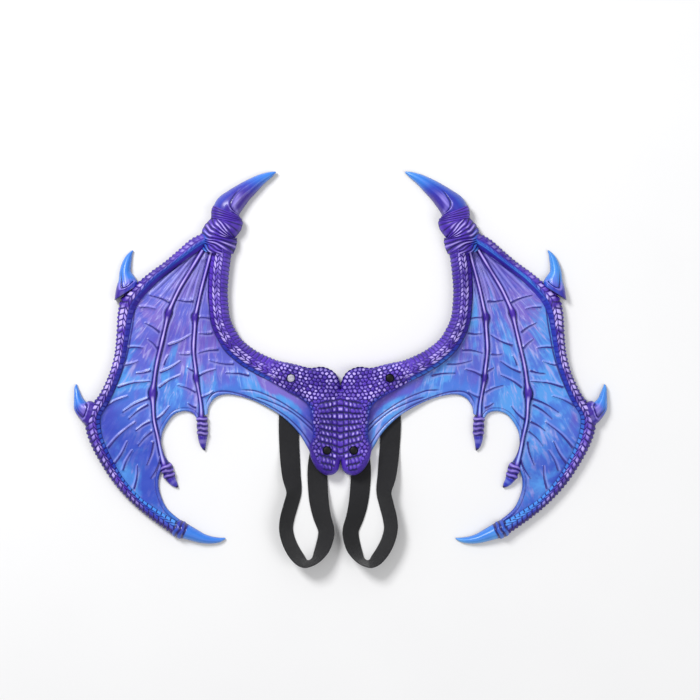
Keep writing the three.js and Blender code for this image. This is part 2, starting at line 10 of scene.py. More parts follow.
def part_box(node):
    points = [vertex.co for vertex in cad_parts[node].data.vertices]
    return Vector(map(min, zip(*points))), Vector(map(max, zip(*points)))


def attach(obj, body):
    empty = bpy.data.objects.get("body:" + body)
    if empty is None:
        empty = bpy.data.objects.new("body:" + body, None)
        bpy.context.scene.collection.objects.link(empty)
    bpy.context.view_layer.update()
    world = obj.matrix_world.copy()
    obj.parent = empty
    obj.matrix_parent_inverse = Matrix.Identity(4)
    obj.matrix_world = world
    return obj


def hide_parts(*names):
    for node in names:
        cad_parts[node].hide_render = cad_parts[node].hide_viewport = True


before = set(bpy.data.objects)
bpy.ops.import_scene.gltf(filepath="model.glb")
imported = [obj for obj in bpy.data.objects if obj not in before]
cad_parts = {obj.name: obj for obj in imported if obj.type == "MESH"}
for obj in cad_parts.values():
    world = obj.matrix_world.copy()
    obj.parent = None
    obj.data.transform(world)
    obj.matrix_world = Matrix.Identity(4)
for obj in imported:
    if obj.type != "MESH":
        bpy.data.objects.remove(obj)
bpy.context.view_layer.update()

MM = 0.001

# Sizes of the foam moulding, in metres
HALF_SPAN = 0.399
WING_HEIGHT = 0.562
MEMBRANE_THICKNESS = 6 * MM
PAD_HEIGHT = 21 * MM
PAD_ROUND = 9 * MM
UPPER_ARM = (30 * MM, 23 * MM)
OUTER_ARM = (20 * MM, 18 * MM)
CUFF = (48 * MM, 27 * MM)
BONE = (6.8 * MM, 10.4 * MM)
FINGER_TIP = (17 * MM, 13 * MM)
THUMB_CLAW = (40 * MM, 23 * MM)
OUTER_CLAW = (32 * MM, 17 * MM)
BOTTOM_CLAW = (26 * MM, 17 * MM)

# Sizes of the straps and their fixings, in metres
STRAP_WIDTH = 30 * MM
STRAP_THICKNESS = 1.5 * MM
STRAP_DROP = 176 * MM
STRAP_END = 12 * MM
STRAP_SEAT = 1.6 * MM
LIFT = 3.4 * MM
EYELET_RADIUS = 2.8 * MM

# Fineness of the meshes, in metres
ALONG_STEP = 0.9 * MM
MEMBRANE_CELL = 1.25 * MM
SCALE_CELL = 0.85 * MM

# The floor, the light and the camera
FLOOR_SIDE = 12
FLOOR_GAP = 0.4 * MM
SKY_LIGHT = 0.42
CAMERA_SPOT = (0.01425, 0.0287)
CAMERA_HEIGHT = 4.0
SEEN_WIDTH = 1.05

# The right upper fixing in model.glb gives where the tables' percent of half span and wing height start
UPPER_FIXING = (18.5, 44.8)
LOWER_FIXING = (5, 25.6)
fixing_low, fixing_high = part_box("right_upper_fixing")
fixing_centre = (fixing_low + fixing_high) / 2
ORIGIN = np.array([
    fixing_centre.x - UPPER_FIXING[0] * HALF_SPAN / 100,
    fixing_centre.y - UPPER_FIXING[1] * WING_HEIGHT / 100,
])


# Places and curves


def bell(off, width):
    """A smooth hump: 1 in the middle, and small beyond its width."""
    return np.exp(-(off / width) ** 2)


def place(rows):
    """Places in metres from rows that start with percent across and percent up."""
    rows = np.atleast_2d(np.array(rows, float))[:, :2]
    return rows * np.array([HALF_SPAN, WING_HEIGHT]) / 100 + ORIGIN


def lift(x):
    """How far the foam's back arches over the straps."""
    across = np.abs(x - ORIGIN[0]) * 100 / HALF_SPAN
    return LIFT * np.interp(across, [24, 29, 35], [1, 0.6, 0])


def ease(value, low, high):
    """From 0 at low to 1 at high, with soft ends."""
    share = np.clip((value - low) / (high - low), 0, 1)
    return share * share * (3 - 2 * share)


def curved(rows, fine=12):
    """Rows with smooth ones between them."""
    rows = np.array(rows, float)
    last = len(rows) - 1
    start = np.arange(last)
    a, b, c, d = (rows[np.clip(start + shift, 0, last)][:, None] for shift in (-1, 0, 1, 2))
    t = np.linspace(0, 1, fine, endpoint=False)[None, :, None]
    into, out = (c - a) / 2, (d - b) / 2
    between = (b * (2 * t**3 - 3 * t**2 + 1) + into * (t**3 - 2 * t**2 + t)
               + c * (3 * t**2 - 2 * t**3) + out * (t**3 - t**2))
    return np.vstack([between.reshape(-1, rows.shape[1]), rows[-1:]])


def walked(rows, step):
    """The rows again at even steps along their path, and how far along each lies."""
    lengths = np.hypot(*np.diff(rows[:, :2], axis=0).T)
    gone = np.concatenate([[0], np.cumsum(lengths)])
    even = np.linspace(0, gone[-1], max(int(gone[-1] / step), 4) + 1)
    return np.stack([np.interp(even, gone, column) for column in rows.T], 1), even


def rights(path):
    """The unit vector to the right of travel at each point of a path."""
    along = np.gradient(path[:, :2], axis=0)
    along /= np.maximum(np.hypot(*along.T), 1e-9)[:, None]
    return np.stack([along[:, 1], -along[:, 0]], 1)


def nearest(line, spots):
    """Each spot's distance to a line, the share of the line where that is, and the side it is on."""
    pieces = np.diff(line, axis=0)
    lengths = np.maximum(np.hypot(*pieces.T), 1e-9)
    whole = lengths.sum()
    distance = np.full(len(spots), np.inf)
    share = np.zeros(len(spots))
    side = np.zeros(len(spots))
    before = 0
    for start, piece, length in zip(line, pieces, lengths):
        along = piece / length
        way = spots - start
        onto = np.clip(way @ along, 0, length)
        gap = np.hypot(way[:, 0] - onto * along[0], way[:, 1] - onto * along[1])
        nearer = gap < distance
        distance = np.where(nearer, gap, distance)
        share = np.where(nearer, (before + onto) / whole, share)
        side = np.where(nearer, np.sign(way[:, 0] * along[1] - way[:, 1] * along[0]), side)
        before += length
    return distance, share, side


def inside(outline, spots):
    """Which spots lie inside a closed outline."""
    odd = np.zeros(len(spots), bool)
    for (x0, y0), (x1, y1) in zip(outline, np.roll(outline, -1, axis=0)):
        if y0 == y1:
            continue
        spans = (spots[:, 1] > y0) != (spots[:, 1] > y1)
        odd ^= spans & (spots[:, 0] < x0 + (spots[:, 1] - y0) * (x1 - x0) / (y1 - y0))
    return odd


def waves(x, y, length, seed, count=7):
    """A smooth random field from -1 to 1 whose bumps are about a length apart."""
    draw = np.random.default_rng(seed)
    total = np.zeros(np.broadcast(x, y).shape)
    for _ in range(count):
        angle = draw.uniform(0, 2 * math.pi)
        size = length * draw.uniform(0.7, 1.6)
        shift = draw.uniform(0, 2 * math.pi)
        total = total + np.sin((x * math.cos(angle) + y * math.sin(angle)) * 2 * math.pi / size + shift)
    return total / math.sqrt(count * 2)


# Meshes


def set_values(piece, values):
    """Named numbers on every point of a piece, which its paint reads."""
    for name, numbers in values.items():
        layer = piece.data.attributes.new(name, "FLOAT", "POINT")
        layer.data.foreach_set("value", np.asarray(numbers, np.float32).reshape(-1))


def get_places(piece):
    places = np.zeros(len(piece.data.vertices) * 3, np.float32)
    piece.data.vertices.foreach_get("co", places)
    return places.reshape(-1, 3).astype(float)


def set_places(piece, places):
    piece.data.vertices.foreach_set("co", np.asarray(places, np.float32).reshape(-1))
    piece.data.update()


def start_edit(mode="VERT"):
    bpy.ops.object.mode_set(mode="EDIT")
    bpy.ops.mesh.select_mode(type=mode)


def grid(name, rows, columns):
    """A grid primitive of rows by columns of points."""
    bpy.ops.object.select_all(action="DESELECT")
    bpy.ops.mesh.primitive_grid_add(x_subdivisions=columns - 1, y_subdivisions=rows - 1, size=1)
    piece = bpy.context.active_object
    piece.name = name
    return piece


def skin(name, places, values):
    """A closed tube: a grid rolled round its last axis, with its seam merged and its ends closed."""
    rolled = np.concatenate([places, places[:, :1]], axis=1)
    piece = grid(name, *rolled.shape[:2])
    set_places(piece, rolled)
    wide = {key: np.concatenate([value, value[:, :1]], axis=1) for key, value in values.items()}
    set_values(piece, wide)
    start_edit()
    bpy.ops.mesh.select_all(action="SELECT")
    bpy.ops.mesh.remove_doubles(threshold=1e-6)
    bpy.ops.mesh.select_all(action="SELECT")
    bpy.ops.mesh.fill_holes(sides=0)
    bpy.ops.mesh.select_all(action="SELECT")
    bpy.ops.mesh.normals_make_consistent(inside=False)
    bpy.ops.object.mode_set(mode="OBJECT")
    return piece


def cut_sheet(name, outline, cell, shape, back):
    """A sheet with an outline: shape gives the top and the named numbers, and back gives the underside."""
    low, high = outline.min(0) - cell, outline.max(0) + cell
    columns, rows = np.ceil((high - low) / cell).astype(int) + 1
    piece = grid(name, rows, columns)
    x, y = np.meshgrid(low[0] + np.arange(columns) * cell, low[1] + np.arange(rows) * cell)
    set_places(piece, np.stack([x, y, np.zeros_like(x)], -1))
    centres = np.zeros(len(piece.data.polygons) * 3, np.float32)
    piece.data.polygons.foreach_get("center", centres)
    outside = ~inside(outline, centres.reshape(-1, 3)[:, :2].astype(float))
    start_edit("FACE")
    bpy.ops.mesh.select_all(action="DESELECT")
    bpy.ops.object.mode_set(mode="OBJECT")
    piece.data.polygons.foreach_set("select", outside)
    bpy.ops.object.mode_set(mode="EDIT")
    bpy.ops.mesh.delete(type="FACE")
    bpy.ops.object.mode_set(mode="OBJECT")
    places = get_places(piece)
    used = np.zeros(len(piece.data.loops), np.int32)
    piece.data.loops.foreach_get("edge_index", used)
    ends = np.zeros(len(piece.data.edges) * 2, np.int32)
    piece.data.edges.foreach_get("vertices", ends)
    once = np.bincount(used, minlength=len(piece.data.edges)) == 1
    border = np.unique(ends.reshape(-1, 2)[once])
    ring = np.vstack([outline, outline[:1]])
    lengths = np.hypot(*np.diff(ring, axis=0).T)
    gone = np.concatenate([[0], np.cumsum(lengths)])
    share = nearest(ring, places[border, :2])[1] * gone[-1]
    places[border, 0] = np.interp(share, gone, ring[:, 0])
    places[border, 1] = np.interp(share, gone, ring[:, 1])
    top, values = shape(places[:, :2])
    places[:, 2] = top
    set_places(piece, places)
    set_values(piece, values)
    start_edit()
    bpy.ops.mesh.select_all(action="SELECT")
    bpy.ops.mesh.extrude_region_move()
    bpy.ops.object.mode_set(mode="OBJECT")
    chosen = np.zeros(len(piece.data.vertices), bool)
    piece.data.vertices.foreach_get("select", chosen)
    places = get_places(piece)
    places[chosen, 2] = back(places[chosen, 0])
    set_places(piece, places)
    start_edit()
    bpy.ops.mesh.select_all(action="SELECT")
    bpy.ops.mesh.normals_make_consistent(inside=False)
    bpy.ops.object.mode_set(mode="OBJECT")
    return piece


def mirror(places, side):
    """The left side's places from the right side's."""
    places = np.array(places, float)
    if side == "left":
        places[..., 0] = 2 * ORIGIN[0] - places[..., 0]
    return places


# Sections of relief, from the floor on the left of travel up and over to the floor on its right
ROUND_SECTION = [
    (-0.95, 0), (-1, 0.12), (-1, 0.28), (-0.8, 0.64), (-0.42, 0.92), (0, 1),
    (0.42, 0.92), (0.8, 0.64), (1, 0.28), (1, 0.12), (0.95, 0),
]
BONE_SECTION = [(-1, 0), (-0.98, 0.5), (-0.6, 0.85), (0, 1), (0.6, 0.85), (0.98, 0.5), (1, 0)]
ARM_SECTION = [
    (-0.95, 0), (-1, 0.14), (-1, 0.34), (-0.85, 0.63), (-0.5, 0.88), (-0.1, 0.97),
    (0.3, 0.93), (0.55, 0.78), (0.75, 0.6), (0.97, 0.46), (1, 0.3), (0.98, 0),
]


def section(rows, count, turned=False):
    """Points along a section, evenly spaced, as sides and rises."""
    rows = np.array(rows, float)
    if turned:
        rows = rows[::-1] * [-1, 1]
    points, _ = walked(curved(rows), 0.002)
    lengths = np.hypot(*np.diff(points, axis=0).T)
    gone = np.concatenate([[0], np.cumsum(lengths)])
    even = np.linspace(0, gone[-1], count)
    return np.interp(even, gone, points[:, 0]), np.maximum(np.interp(even, gone, points[:, 1]), 0)


def relief(name, side, rows, size, shape, dress, count=48, back=0.0, turned=False, root=(0, 0),
           boxy=0.0, step=ALONG_STEP):
    """A raised form along a path. Each row gives its place and its width and height as shares of a size.
    root moves the left and the right side of its root ahead, and boxy fills out the root's section."""
    width, height = size
    table = np.array(rows, float)
    table = np.hstack([place(table), table[:, 2:3] * width, table[:, 3:4] * height])
    path, gone = walked(curved(table), step)
    sides, rises = section(shape, count, turned)
    over = (sides + 1) / 2 if not turned else (1 - sides) / 2
    look = dress(gone[:, None], over[None, :], gone[-1])
    standing = ease(rises, 0.05, 0.4)[None, :]
    reach = path[:, 2:3] / 2 * sides + look["push"] * np.sign(sides) * ease(np.abs(sides), 0.6, 1) * standing
    right = rights(path)
    places = np.zeros((len(path), count, 3))
    ahead = root[0] * (1 - sides) / 2 + root[1] * (1 + sides) / 2
    from_root = (1 - ease(gone / gone[-1], 0, 0.5))[:, None]
    slant = ahead * from_root
    places[..., 0] = path[:, 0:1] + right[:, 0:1] * reach - right[:, 1:2] * slant
    places[..., 1] = path[:, 1:2] + right[:, 1:2] * reach + right[:, 0:1] * slant
    base = lift(path[:, 0:1]) + back
    top = base + path[:, 3:4] * rises ** (1 - boxy * from_root) + look["raise"] * standing
    places[..., 2] = np.maximum(top, base)
    values = {key: np.broadcast_to(look[key], places.shape[:2]) for key in ("groove", "crest", "blue")}
    # Painted shade: the low sides of each form, where it meets what lies beneath, are painted dark
    values["groove"] = np.maximum(values["groove"], 0.8 * (1 - ease(rises, 0.1, 0.55)))
    return skin(f"{side}_{name}", mirror(places, side), values)


# Tables of the moulding, in percent of the half span and of the wing height
OUTER_SCALLOP = [(60, 6.8), (65.2, 10.1), (67.9, 14.4), (68.2, 18), (66.6, 21.6)]
MIDDLE_SCALLOP = [
    (63.7, 21.4), (66.3, 24.6), (67.3, 27.6), (66.5, 31), (63, 34.7), (59.2, 35.9), (55.8, 35.5),
    (54.2, 34.2),
]
TRAILING_EDGE = [
    (49.9, 35.2), (49.3, 37.4), (46.8, 39.6), (42.6, 40.4), (36, 39.6), (29.9, 37.9), (22.4, 34.8),
    (16.2, 30.6), (12.4, 26.3), (11.3, 24.6),
]
UNDER_PAD = [(8, 24.6), (7, 27), (7, 40)]
UNDER_ARMS = [
    (12, 42), (25.8, 46.7), (39.7, 53.1), (44.9, 60.3), (46.1, 68.3), (46, 79.5), (52, 80.4),
    (57.3, 78.9), (67.5, 73.1), (77, 67.5), (80.8, 62), (81.8, 54.9), (83.6, 48.3), (87.5, 41), (91.9, 35),
    (92.2, 29.8), (88.2, 22.6), (80.6, 15.3), (71.2, 9.5), (61.8, 5),
]
UPPER_ARM_ROWS = [
    (44.8, 80.5, 0.9, 1), (44.6, 78.1, 0.94, 1), (45.5, 73.1, 0.96, 1), (45.9, 67.7, 0.93, 0.98),
    (45.4, 62.3, 0.93, 0.98), (44.7, 59.6, 0.95, 0.98), (43, 56.8, 0.96, 0.98), (39.8, 53.3, 0.97, 0.98),
    (33.6, 49.8, 0.98, 0.98), (25.9, 47, 1.06, 0.96), (19.1, 45.1, 1.36, 0.94), (12.7, 43.1, 1.86, 0.92),
    (7.3, 41.5, 1.98, 0.88),
]
OUTER_ARM_ROWS = [
    (50.2, 82, 0.95, 1), (54.7, 80.2, 1.05, 1), (59.6, 77.5, 0.9, 0.95), (65, 74.5, 0.8, 0.92),
    (69.7, 72, 0.85, 0.92), (74.2, 69.1, 0.98, 0.95), (78.8, 65.6, 1.27, 1), (80.6, 62.1, 1.15, 1),
    (81.6, 56.8, 0.95, 0.95), (82.7, 50.9, 0.83, 0.9), (85, 45.3, 0.78, 0.9), (88.5, 39.7, 0.88, 0.95),
    (92.3, 35.5, 1.05, 1), (92.9, 32, 1.12, 1), (91.2, 27.5, 1, 0.95), (87.4, 22.1, 0.88, 0.9),
    (82.5, 16.8, 0.78, 0.85), (76.1, 11.9, 0.73, 0.85), (69, 8.1, 0.85, 0.88), (61.8, 4.8, 0.97, 0.92),
]
CUFF_ROWS = [
    (42.8, 89.6, 0.8, 0.9), (42.8, 88.7, 0.9, 0.95), (42.7, 87.6, 0.94, 0.9), (42.7, 86.4, 0.98, 0.96),
    (43.4, 85.4, 0.95, 0.94), (44.6, 84.4, 0.96, 0.9), (45.4, 83.4, 1.05, 0.96), (45.7, 82.4, 1.09, 1),
    (45.7, 81.2, 1.13, 1), (45.8, 79.9, 1.05, 0.92), (46.2, 78.9, 0.94, 0.95), (46.4, 78, 0.84, 0.9),
]
THUMB_CLAW_ROWS = [
    (43.2, 88.2, 0.95, 0.96), (42.2, 90.3, 1.0, 1), (39.1, 92.6, 0.84, 0.9), (36.4, 94.3, 0.7, 0.8),
    (33.5, 95.9, 0.58, 0.7), (29.9, 97.7, 0.4, 0.52), (26.7, 98.9, 0.24, 0.36), (24.3, 99.7, 0.06, 0.2),
]
UPPER_OUTER_CLAW_ROWS = [
    (81, 65.5, 0.92, 1.1), (80.5, 68, 0.94, 1.05), (80.2, 70.4, 0.84, 0.95), (80.8, 72.9, 0.56, 0.8),
    (80.5, 74.8, 0.45, 0.65), (79.7, 76.7, 0.33, 0.5), (78.9, 77.9, 0.19, 0.36), (78, 78.8, 0.06, 0.22),
]
LOWER_OUTER_CLAW_ROWS = [
    (92.2, 34.5, 0.98, 1.1), (94.5, 35.6, 1.04, 1.05), (97.2, 37, 0.76, 0.95), (98.4, 39, 0.45, 0.8),
    (98.9, 40.7, 0.31, 0.62), (99.3, 42.2, 0.18, 0.42), (99.2, 43.1, 0.06, 0.22),
]
BOTTOM_CLAW_ROWS = [
    (62.2, 5.2, 0.9, 1.05), (60, 4.4, 1, 1.1), (58.5, 4, 0.88, 0.95), (56.5, 3.4, 0.78, 0.9),
    (54.2, 2.7, 0.68, 0.8), (51.6, 2, 0.55, 0.68), (48.6, 1.6, 0.42, 0.54), (45.6, 1.6, 0.28, 0.4),
    (43.3, 2, 0.08, 0.22),
]
INNER_BONE_ROWS = [
    (47.9, 80, 0.9, 1), (49.8, 74.9, 0.85, 1), (52.1, 68.8, 0.8, 1), (53.9, 63, 0.85, 1),
    (54.6, 61.1, 1.6, 1.2),
    (54.6, 58.8, 0.9, 1), (55.1, 52.3, 0.85, 1), (54.3, 46.9, 0.8, 1), (54.1, 44.8, 1.25, 1.15),
    (53.4, 42.1, 0.7, 1), (52.4, 37.9, 0.8, 1), (52.1, 33.8, 1.2, 1),
]
OUTER_BONE_ROWS = [
    (51.7, 78.9, 0.9, 1), (56.2, 73.6, 0.9, 1), (60.3, 68.8, 0.9, 1), (63.4, 64.2, 0.9, 1),
    (64.5, 62.1, 1.6, 1.2),
    (65.4, 59.3, 0.85, 1), (67.1, 54.1, 0.85, 1), (69, 48.3, 0.85, 1), (70, 43.4, 0.95, 1),
    (70.5, 40.8, 1.9, 1.25),
    (70.3, 38, 0.9, 1), (69.9, 33.6, 0.8, 1), (68.6, 29.3, 0.8, 1), (67.3, 24.8, 0.9, 1),
    (65.8, 21, 1.5, 1),
]
INNER_TIP_ROWS = [
    (52.1, 34.6, 0.8, 0.8), (52, 33.7, 1, 1), (51.9, 32.9, 0.86, 0.9), (51.9, 32, 1.02, 1),
    (51.8, 31.2, 0.86, 0.9), (51.8, 30.5, 0.98, 1), (51.8, 29.9, 0.92, 0.9), (51.8, 28, 0.68, 0.75),
    (51.5, 26.5, 0.42, 0.5), (51, 25.5, 0.1, 0.28),
]
OUTER_TIP_ROWS = [
    (66, 21.8, 0.9, 0.85), (65.2, 20.7, 1.1, 1), (64.8, 19.7, 0.96, 0.9), (64.3, 18.8, 1.04, 1),
    (63.7, 17.9, 0.82, 0.88), (63, 17.1, 0.68, 0.75), (61.9, 16.2, 0.42, 0.5), (61.1, 15.6, 0.1, 0.28),
]

# The groove near the root of each claw: share of the claw's length and side of it
THUMB_GROOVE = [(0.08, -0.98), (0.143, -0.27), (0.2, 0.06), (0.29, 0.25), (0.386, 0.4), (0.5, 0.45)]
UPPER_GROOVE = [
    (0.29, -0.62), (0.18, -0.35), (0.15, 0), (0.18, 0.35), (0.27, 0.52), (0.5, 0.62), (0.72, 0.62),
]
LOWER_GROOVE = [(0.36, -0.66), (0.25, -0.5), (0.2, 0.1), (0.2, 0.58), (0.36, 0.62), (0.61, 0.72)]

# Folds that run out from the cuff beside the bones
FOLDS = [
    [(48.2, 79), (49.3, 72), (50.6, 63)], [(49.2, 78.4), (51.6, 70), (53.4, 62.5)],
    [(50.2, 78.2), (53.6, 71), (56.6, 62)], [(53.6, 78.6), (60, 73.2), (69, 65)],
    [(51, 77.6), (55.4, 70.8), (59.6, 63)], [(54.4, 78.6), (63, 73), (73, 66.2)],
]

# Veins of the membrane, each from its root to its point
VEINS = [
    (48.2, 60.6, 54.4, 60.9), (47.6, 56.8, 53.2, 56.7), (45.3, 52.3, 53.2, 51.5),
    (39.3, 48.5, 49.4, 49.5), (33.6, 45.3, 43, 46.1),
    (53.2, 45.3, 46.8, 47.1), (52.4, 39.5, 47.6, 41.3), (54.7, 65.3, 61.1, 65.6), (65.2, 53.3, 56.2, 56.3),
    (56.2, 51.2, 60.7, 51.2), (68.2, 46.1, 60, 49.3), (68.6, 41.9, 60, 45.6), (53.9, 40.8, 61.1, 42.9),
    (53.9, 36.8, 57.3, 38.1), (63, 64.5, 72, 66.9), (75.8, 63.6, 69.4, 63.2), (67.5, 56.8, 73.5, 59.5),
    (80.3, 52.8, 73.9, 52.8), (82.1, 48.1, 75.8, 49.3), (84.4, 42.1, 71.6, 43.9), (71.2, 39.5, 81.8, 35.7),
    (88.2, 37.1, 79.5, 40), (71.6, 37.9, 79.5, 33.9), (87.8, 25.6, 76.9, 33.1), (70.1, 30.9, 76.1, 26.7),
    (70.1, 28.3, 72.7, 21.6), (85.2, 21.6, 79.9, 28), (81.8, 19.7, 78, 25.6), (77.6, 14.9, 76.1, 21.6),
    (67.1, 24.3, 71.2, 18.1), (68.4, 52.5, 72.4, 55.2), (70.7, 46.9, 76.9, 46), (70.9, 33.3, 76.9, 30.7),
    (66.3, 48, 64.5, 50.9), (69.2, 33.6, 64.1, 37.3), (54, 46.4, 57.5, 47.6),
]

# Grooves that follow the trailing edge down to the pad
RIM_GROOVES = [
    [(39.4, 41.6), (35.4, 41.6), (31, 41.2), (22.9, 38.7), (15.5, 35.2), (10.7, 32.3), (8, 30)],
    [(33.8, 40.1), (29.1, 39.2), (23.5, 37.7), (18.2, 35.7), (13.6, 33), (9.8, 30.3), (8, 28)],
    [(51.6, 35.9), (49.4, 39.4), (46.9, 41), (43.2, 41.3), (38.5, 40.7), (32.3, 39.2), (26.1, 37.2),
     (19.8, 34.3), (14.5, 30.6), (10.7, 26.6)],
]

# The scaly skin of the pad reaches from the V notch up over the arms and round the lower lobes
PAD = [
    (0, 41.9), (0.7, 44.2), (2.1, 46), (4.2, 47.1), (7.3, 47.7), (11.5, 47.4), (16.7, 48.3), (20.6, 48.9),
    (24.1, 49.2), (26.6, 49.8), (28.8, 48.8), (29, 46.8), (27.2, 44.6), (23.5, 42.7), (19.5, 41.2),
    (15, 39.4),
    (11.6, 37), (10.7, 33.6), (10.3, 31), (10.6, 28.6), (11.6, 26.4), (11.2, 23.8), (10, 21.8), (8.2, 20.1),
    (5.6, 19), (2.8, 19.1), (1, 20.2), (0.4, 21.6), (0, 22.9),
]
BODY_EDGE = [row for row in PAD if not 24.5 < row[0] < 28.5 or row[1] < 45]


# Dress of the forms: raise and push in metres, and the shares of dark paint with painted shade in the
# recesses, of lilac paint with painted highlights on the crests, and of blue paint


def ribbed(phase, sharp=9):
    """0 in a groove at whole numbers of the phase, 1 on the ribs between them."""
    return 1 - np.abs(np.cos(math.pi * phase)) ** sharp


# Columns of scales across an arm: from, to, pitch, slant, groove depth, crown, light (lilac paint with
# painted highlights on the ribs), blue and dark paint
UPPER_ARM_COLUMNS = [
    (0.00, 0.36, 6.6, 0.30, 0.8, 1.0, 0.30, 0.02, 0.20),
    (0.36, 0.54, 6.6, 0.60, 0.8, 0.9, 0.70, 0.20, 0.00),
    (0.54, 0.66, 9.2, -0.60, 1.4, 0.9, 0.62, 0.10, 0.05),
    (0.66, 0.82, 9.2, 0.80, 1.4, 1.5, 1.05, 0.15, 0.00),
    (0.82, 1.00, 9.2, 0.30, 0.7, 0.8, 0.15, 0.30, 0.05),
]
OUTER_ARM_COLUMNS = [
    (0.00, 0.12, 6.4, 0.20, 1.3, 0.8, 0.02, -0.40, 0.25),
    (0.12, 0.44, 9.0, 0.35, 1.4, 1.4, 1.05, 0.00, 0.00),
    (0.44, 0.68, 9.0, -0.80, 1.4, 1.1, 0.80, 0.25, 0.05),
    (0.68, 1.00, 8.4, 0.15, 1.3, 1.2, 0.60, 0.90, 0.00),
]


def scaled(columns, teeth, smooth_to, spread, blue_bend):
    """The dress of an arm with columns of scales, and teeth along its outer edge. Lilac paint and painted
    highlights lie on the ribs, dark paint and painted shade in the grooves. The scales are fainter up to the
    share smooth_to of its length. Further on, spread widens the outer columns, brings out the ribs of the
    inner one and turns the end blue. blue_bend is the blue along the inner edge."""
    def dress(along, over, length):
        share = along / length
        early = 1 - ease(share, smooth_to * 0.5, smooth_to)
        grown = 1 - 0.5 * early
        late = ease(share, 0.5, 0.65) if spread else 1
        # Uneven strength of the lilac paint and painted highlights on the ribs
        patchy_paint_and_highlight = 0.68 + 0.3 * waves(along, over * 0.02, 0.04, 17) + 0.3 * waves(along, over * 0.01, 0.012, 18)
        along = along + waves(along, over * 0.02, 0.05, 3) * 0.6 * MM
        at = np.clip(over, 0, 1) ** (1 + spread * late)
        look = {key: np.zeros(patchy_paint_and_highlight.shape) for key in ("raise", "push", "groove", "crest", "blue")}
        for start, end, pitch, slant, depth, crown, light, blue, shade in columns:
            a = np.clip((at - start) / (end - start), 0, 1) * 2 - 1
            within = (at >= start) & (at < end) | (end == 1) & (at >= start)
            edge = np.sqrt(np.maximum(1 - a * a, 0))
            if start == 0:
                edge = np.where(a < 0, 1, edge)
            shown = grown * (0.6 + 0.4 * late if end == 1 else 1)
            rib = ribbed(along / (pitch * MM) + slant * a / 2)
            look["raise"] += within * (crown * edge - depth * shown * (1 - rib) * np.sqrt(edge)) * MM
            # Dark paint and painted shade in the grooves between ribs and at the column edges
            dark = np.clip(1 - np.minimum(rib * 1.15, ease(edge, 0.1, 0.75)), 0, 1)
            shade = shade + (0.3 * late if spread and start == 0 else 0)
            bright = light * (1 - 0.3 * late if spread else 1)
            look["groove"] += within * np.maximum(dark * min(depth, 1) * shown, shade)
            look["crest"] += within * bright * rib * ease(edge, 0.35, 0.95) * shown * patchy_paint_and_highlight
            look["blue"] += within * blue * (0.7 + 0.3 * late) * (1 - 0.6 * early)
        look["blue"] += blue_bend * ease(share, 0.45, 0.75) * ease(over, 0.7, 0.95)
        look["blue"] += 0.85 * early * bell(over - 0.62, 0.2)
        last = ease(share, 0.78, 0.94) if spread else 0 * share
        look["blue"] += 0.8 * last * ease(over, 0.05, 0.45)
        look["crest"] *= 1 - 0.45 * last
        rib = ribbed(along / (columns[0][2] * MM) - columns[0][3] / 2, 3)
        look["push"] = teeth * (rib - 0.6) * (over < 0.3)
        return look
    return dress


def wrinkled(along, over, length):
    """Folds of the cuff: fine rings under the claw, a waist with slanting folds, then folds that sweep up
    at the outer side. Their tops carry painted highlights, and their grooves dark paint and painted shade."""
    out = 1 - over
    share = along / length
    unrest = waves(along, over * 0.03, 0.02, 11)
    ring = ribbed(along / (3.4 * MM) + 0.35 * out + 0.1 * unrest, 4)
    sweep = 1.4 * out + 1.9 * out * out * ease(share, 0.4, 0.85)
    ripple = 0.13 * np.sin(out * 15) * ease(out, 0.45, 0.8)
    fold = ribbed(along / (5.4 * MM) + sweep + ripple + 0.12 * unrest, 3)
    rings = 1 - ease(share, 0.24, 0.36)
    folds = ease(share, 0.42, 0.54)
    waist = 1 - rings - folds
    patchy = ease(waves(along, over * 0.05, 0.018, 14), -0.5, 0.5)
    inner_knob = bell(share - 0.2, 0.06) * ease(over, 0.5, 0.9)
    # The band of the waist whose fold tops carry painted highlights
    bright = ease(over, 0.1, 0.3) * (1 - ease(over, 0.62, 0.85))
    return {
        "raise": (1.0 * (ring - 0.7) * rings + 1.0 * (fold - 0.6) * waist
                  + 2.0 * (fold - 0.6) * folds) * MM,
        "push": (0.5 * (ring - 0.5) * rings + 1.7 * (fold - 0.5) * folds + 0.7 * inner_knob) * MM,
        "groove": ((0.1 + 0.75 * ease(1 - ring, 0.3, 0.9)) * rings
                   + (0.1 + 0.7 * ease(1 - fold, 0.5, 1)) * waist
                   + (0.05 + 0.85 * ease(1 - fold, 0.35, 0.95)) * folds),
        "crest": (0.18 * ring * rings + 0.75 * ease(fold, 0.6, 1) * bright * waist
                  + 0.62 * ease(fold, 0.65, 1) * (0.3 + 0.7 * patchy) * folds),
        "blue": 0.12 * rings + 0.95 * ease(out, 0.6, 0.92) * ease(share, 0.45, 0.7),
    }


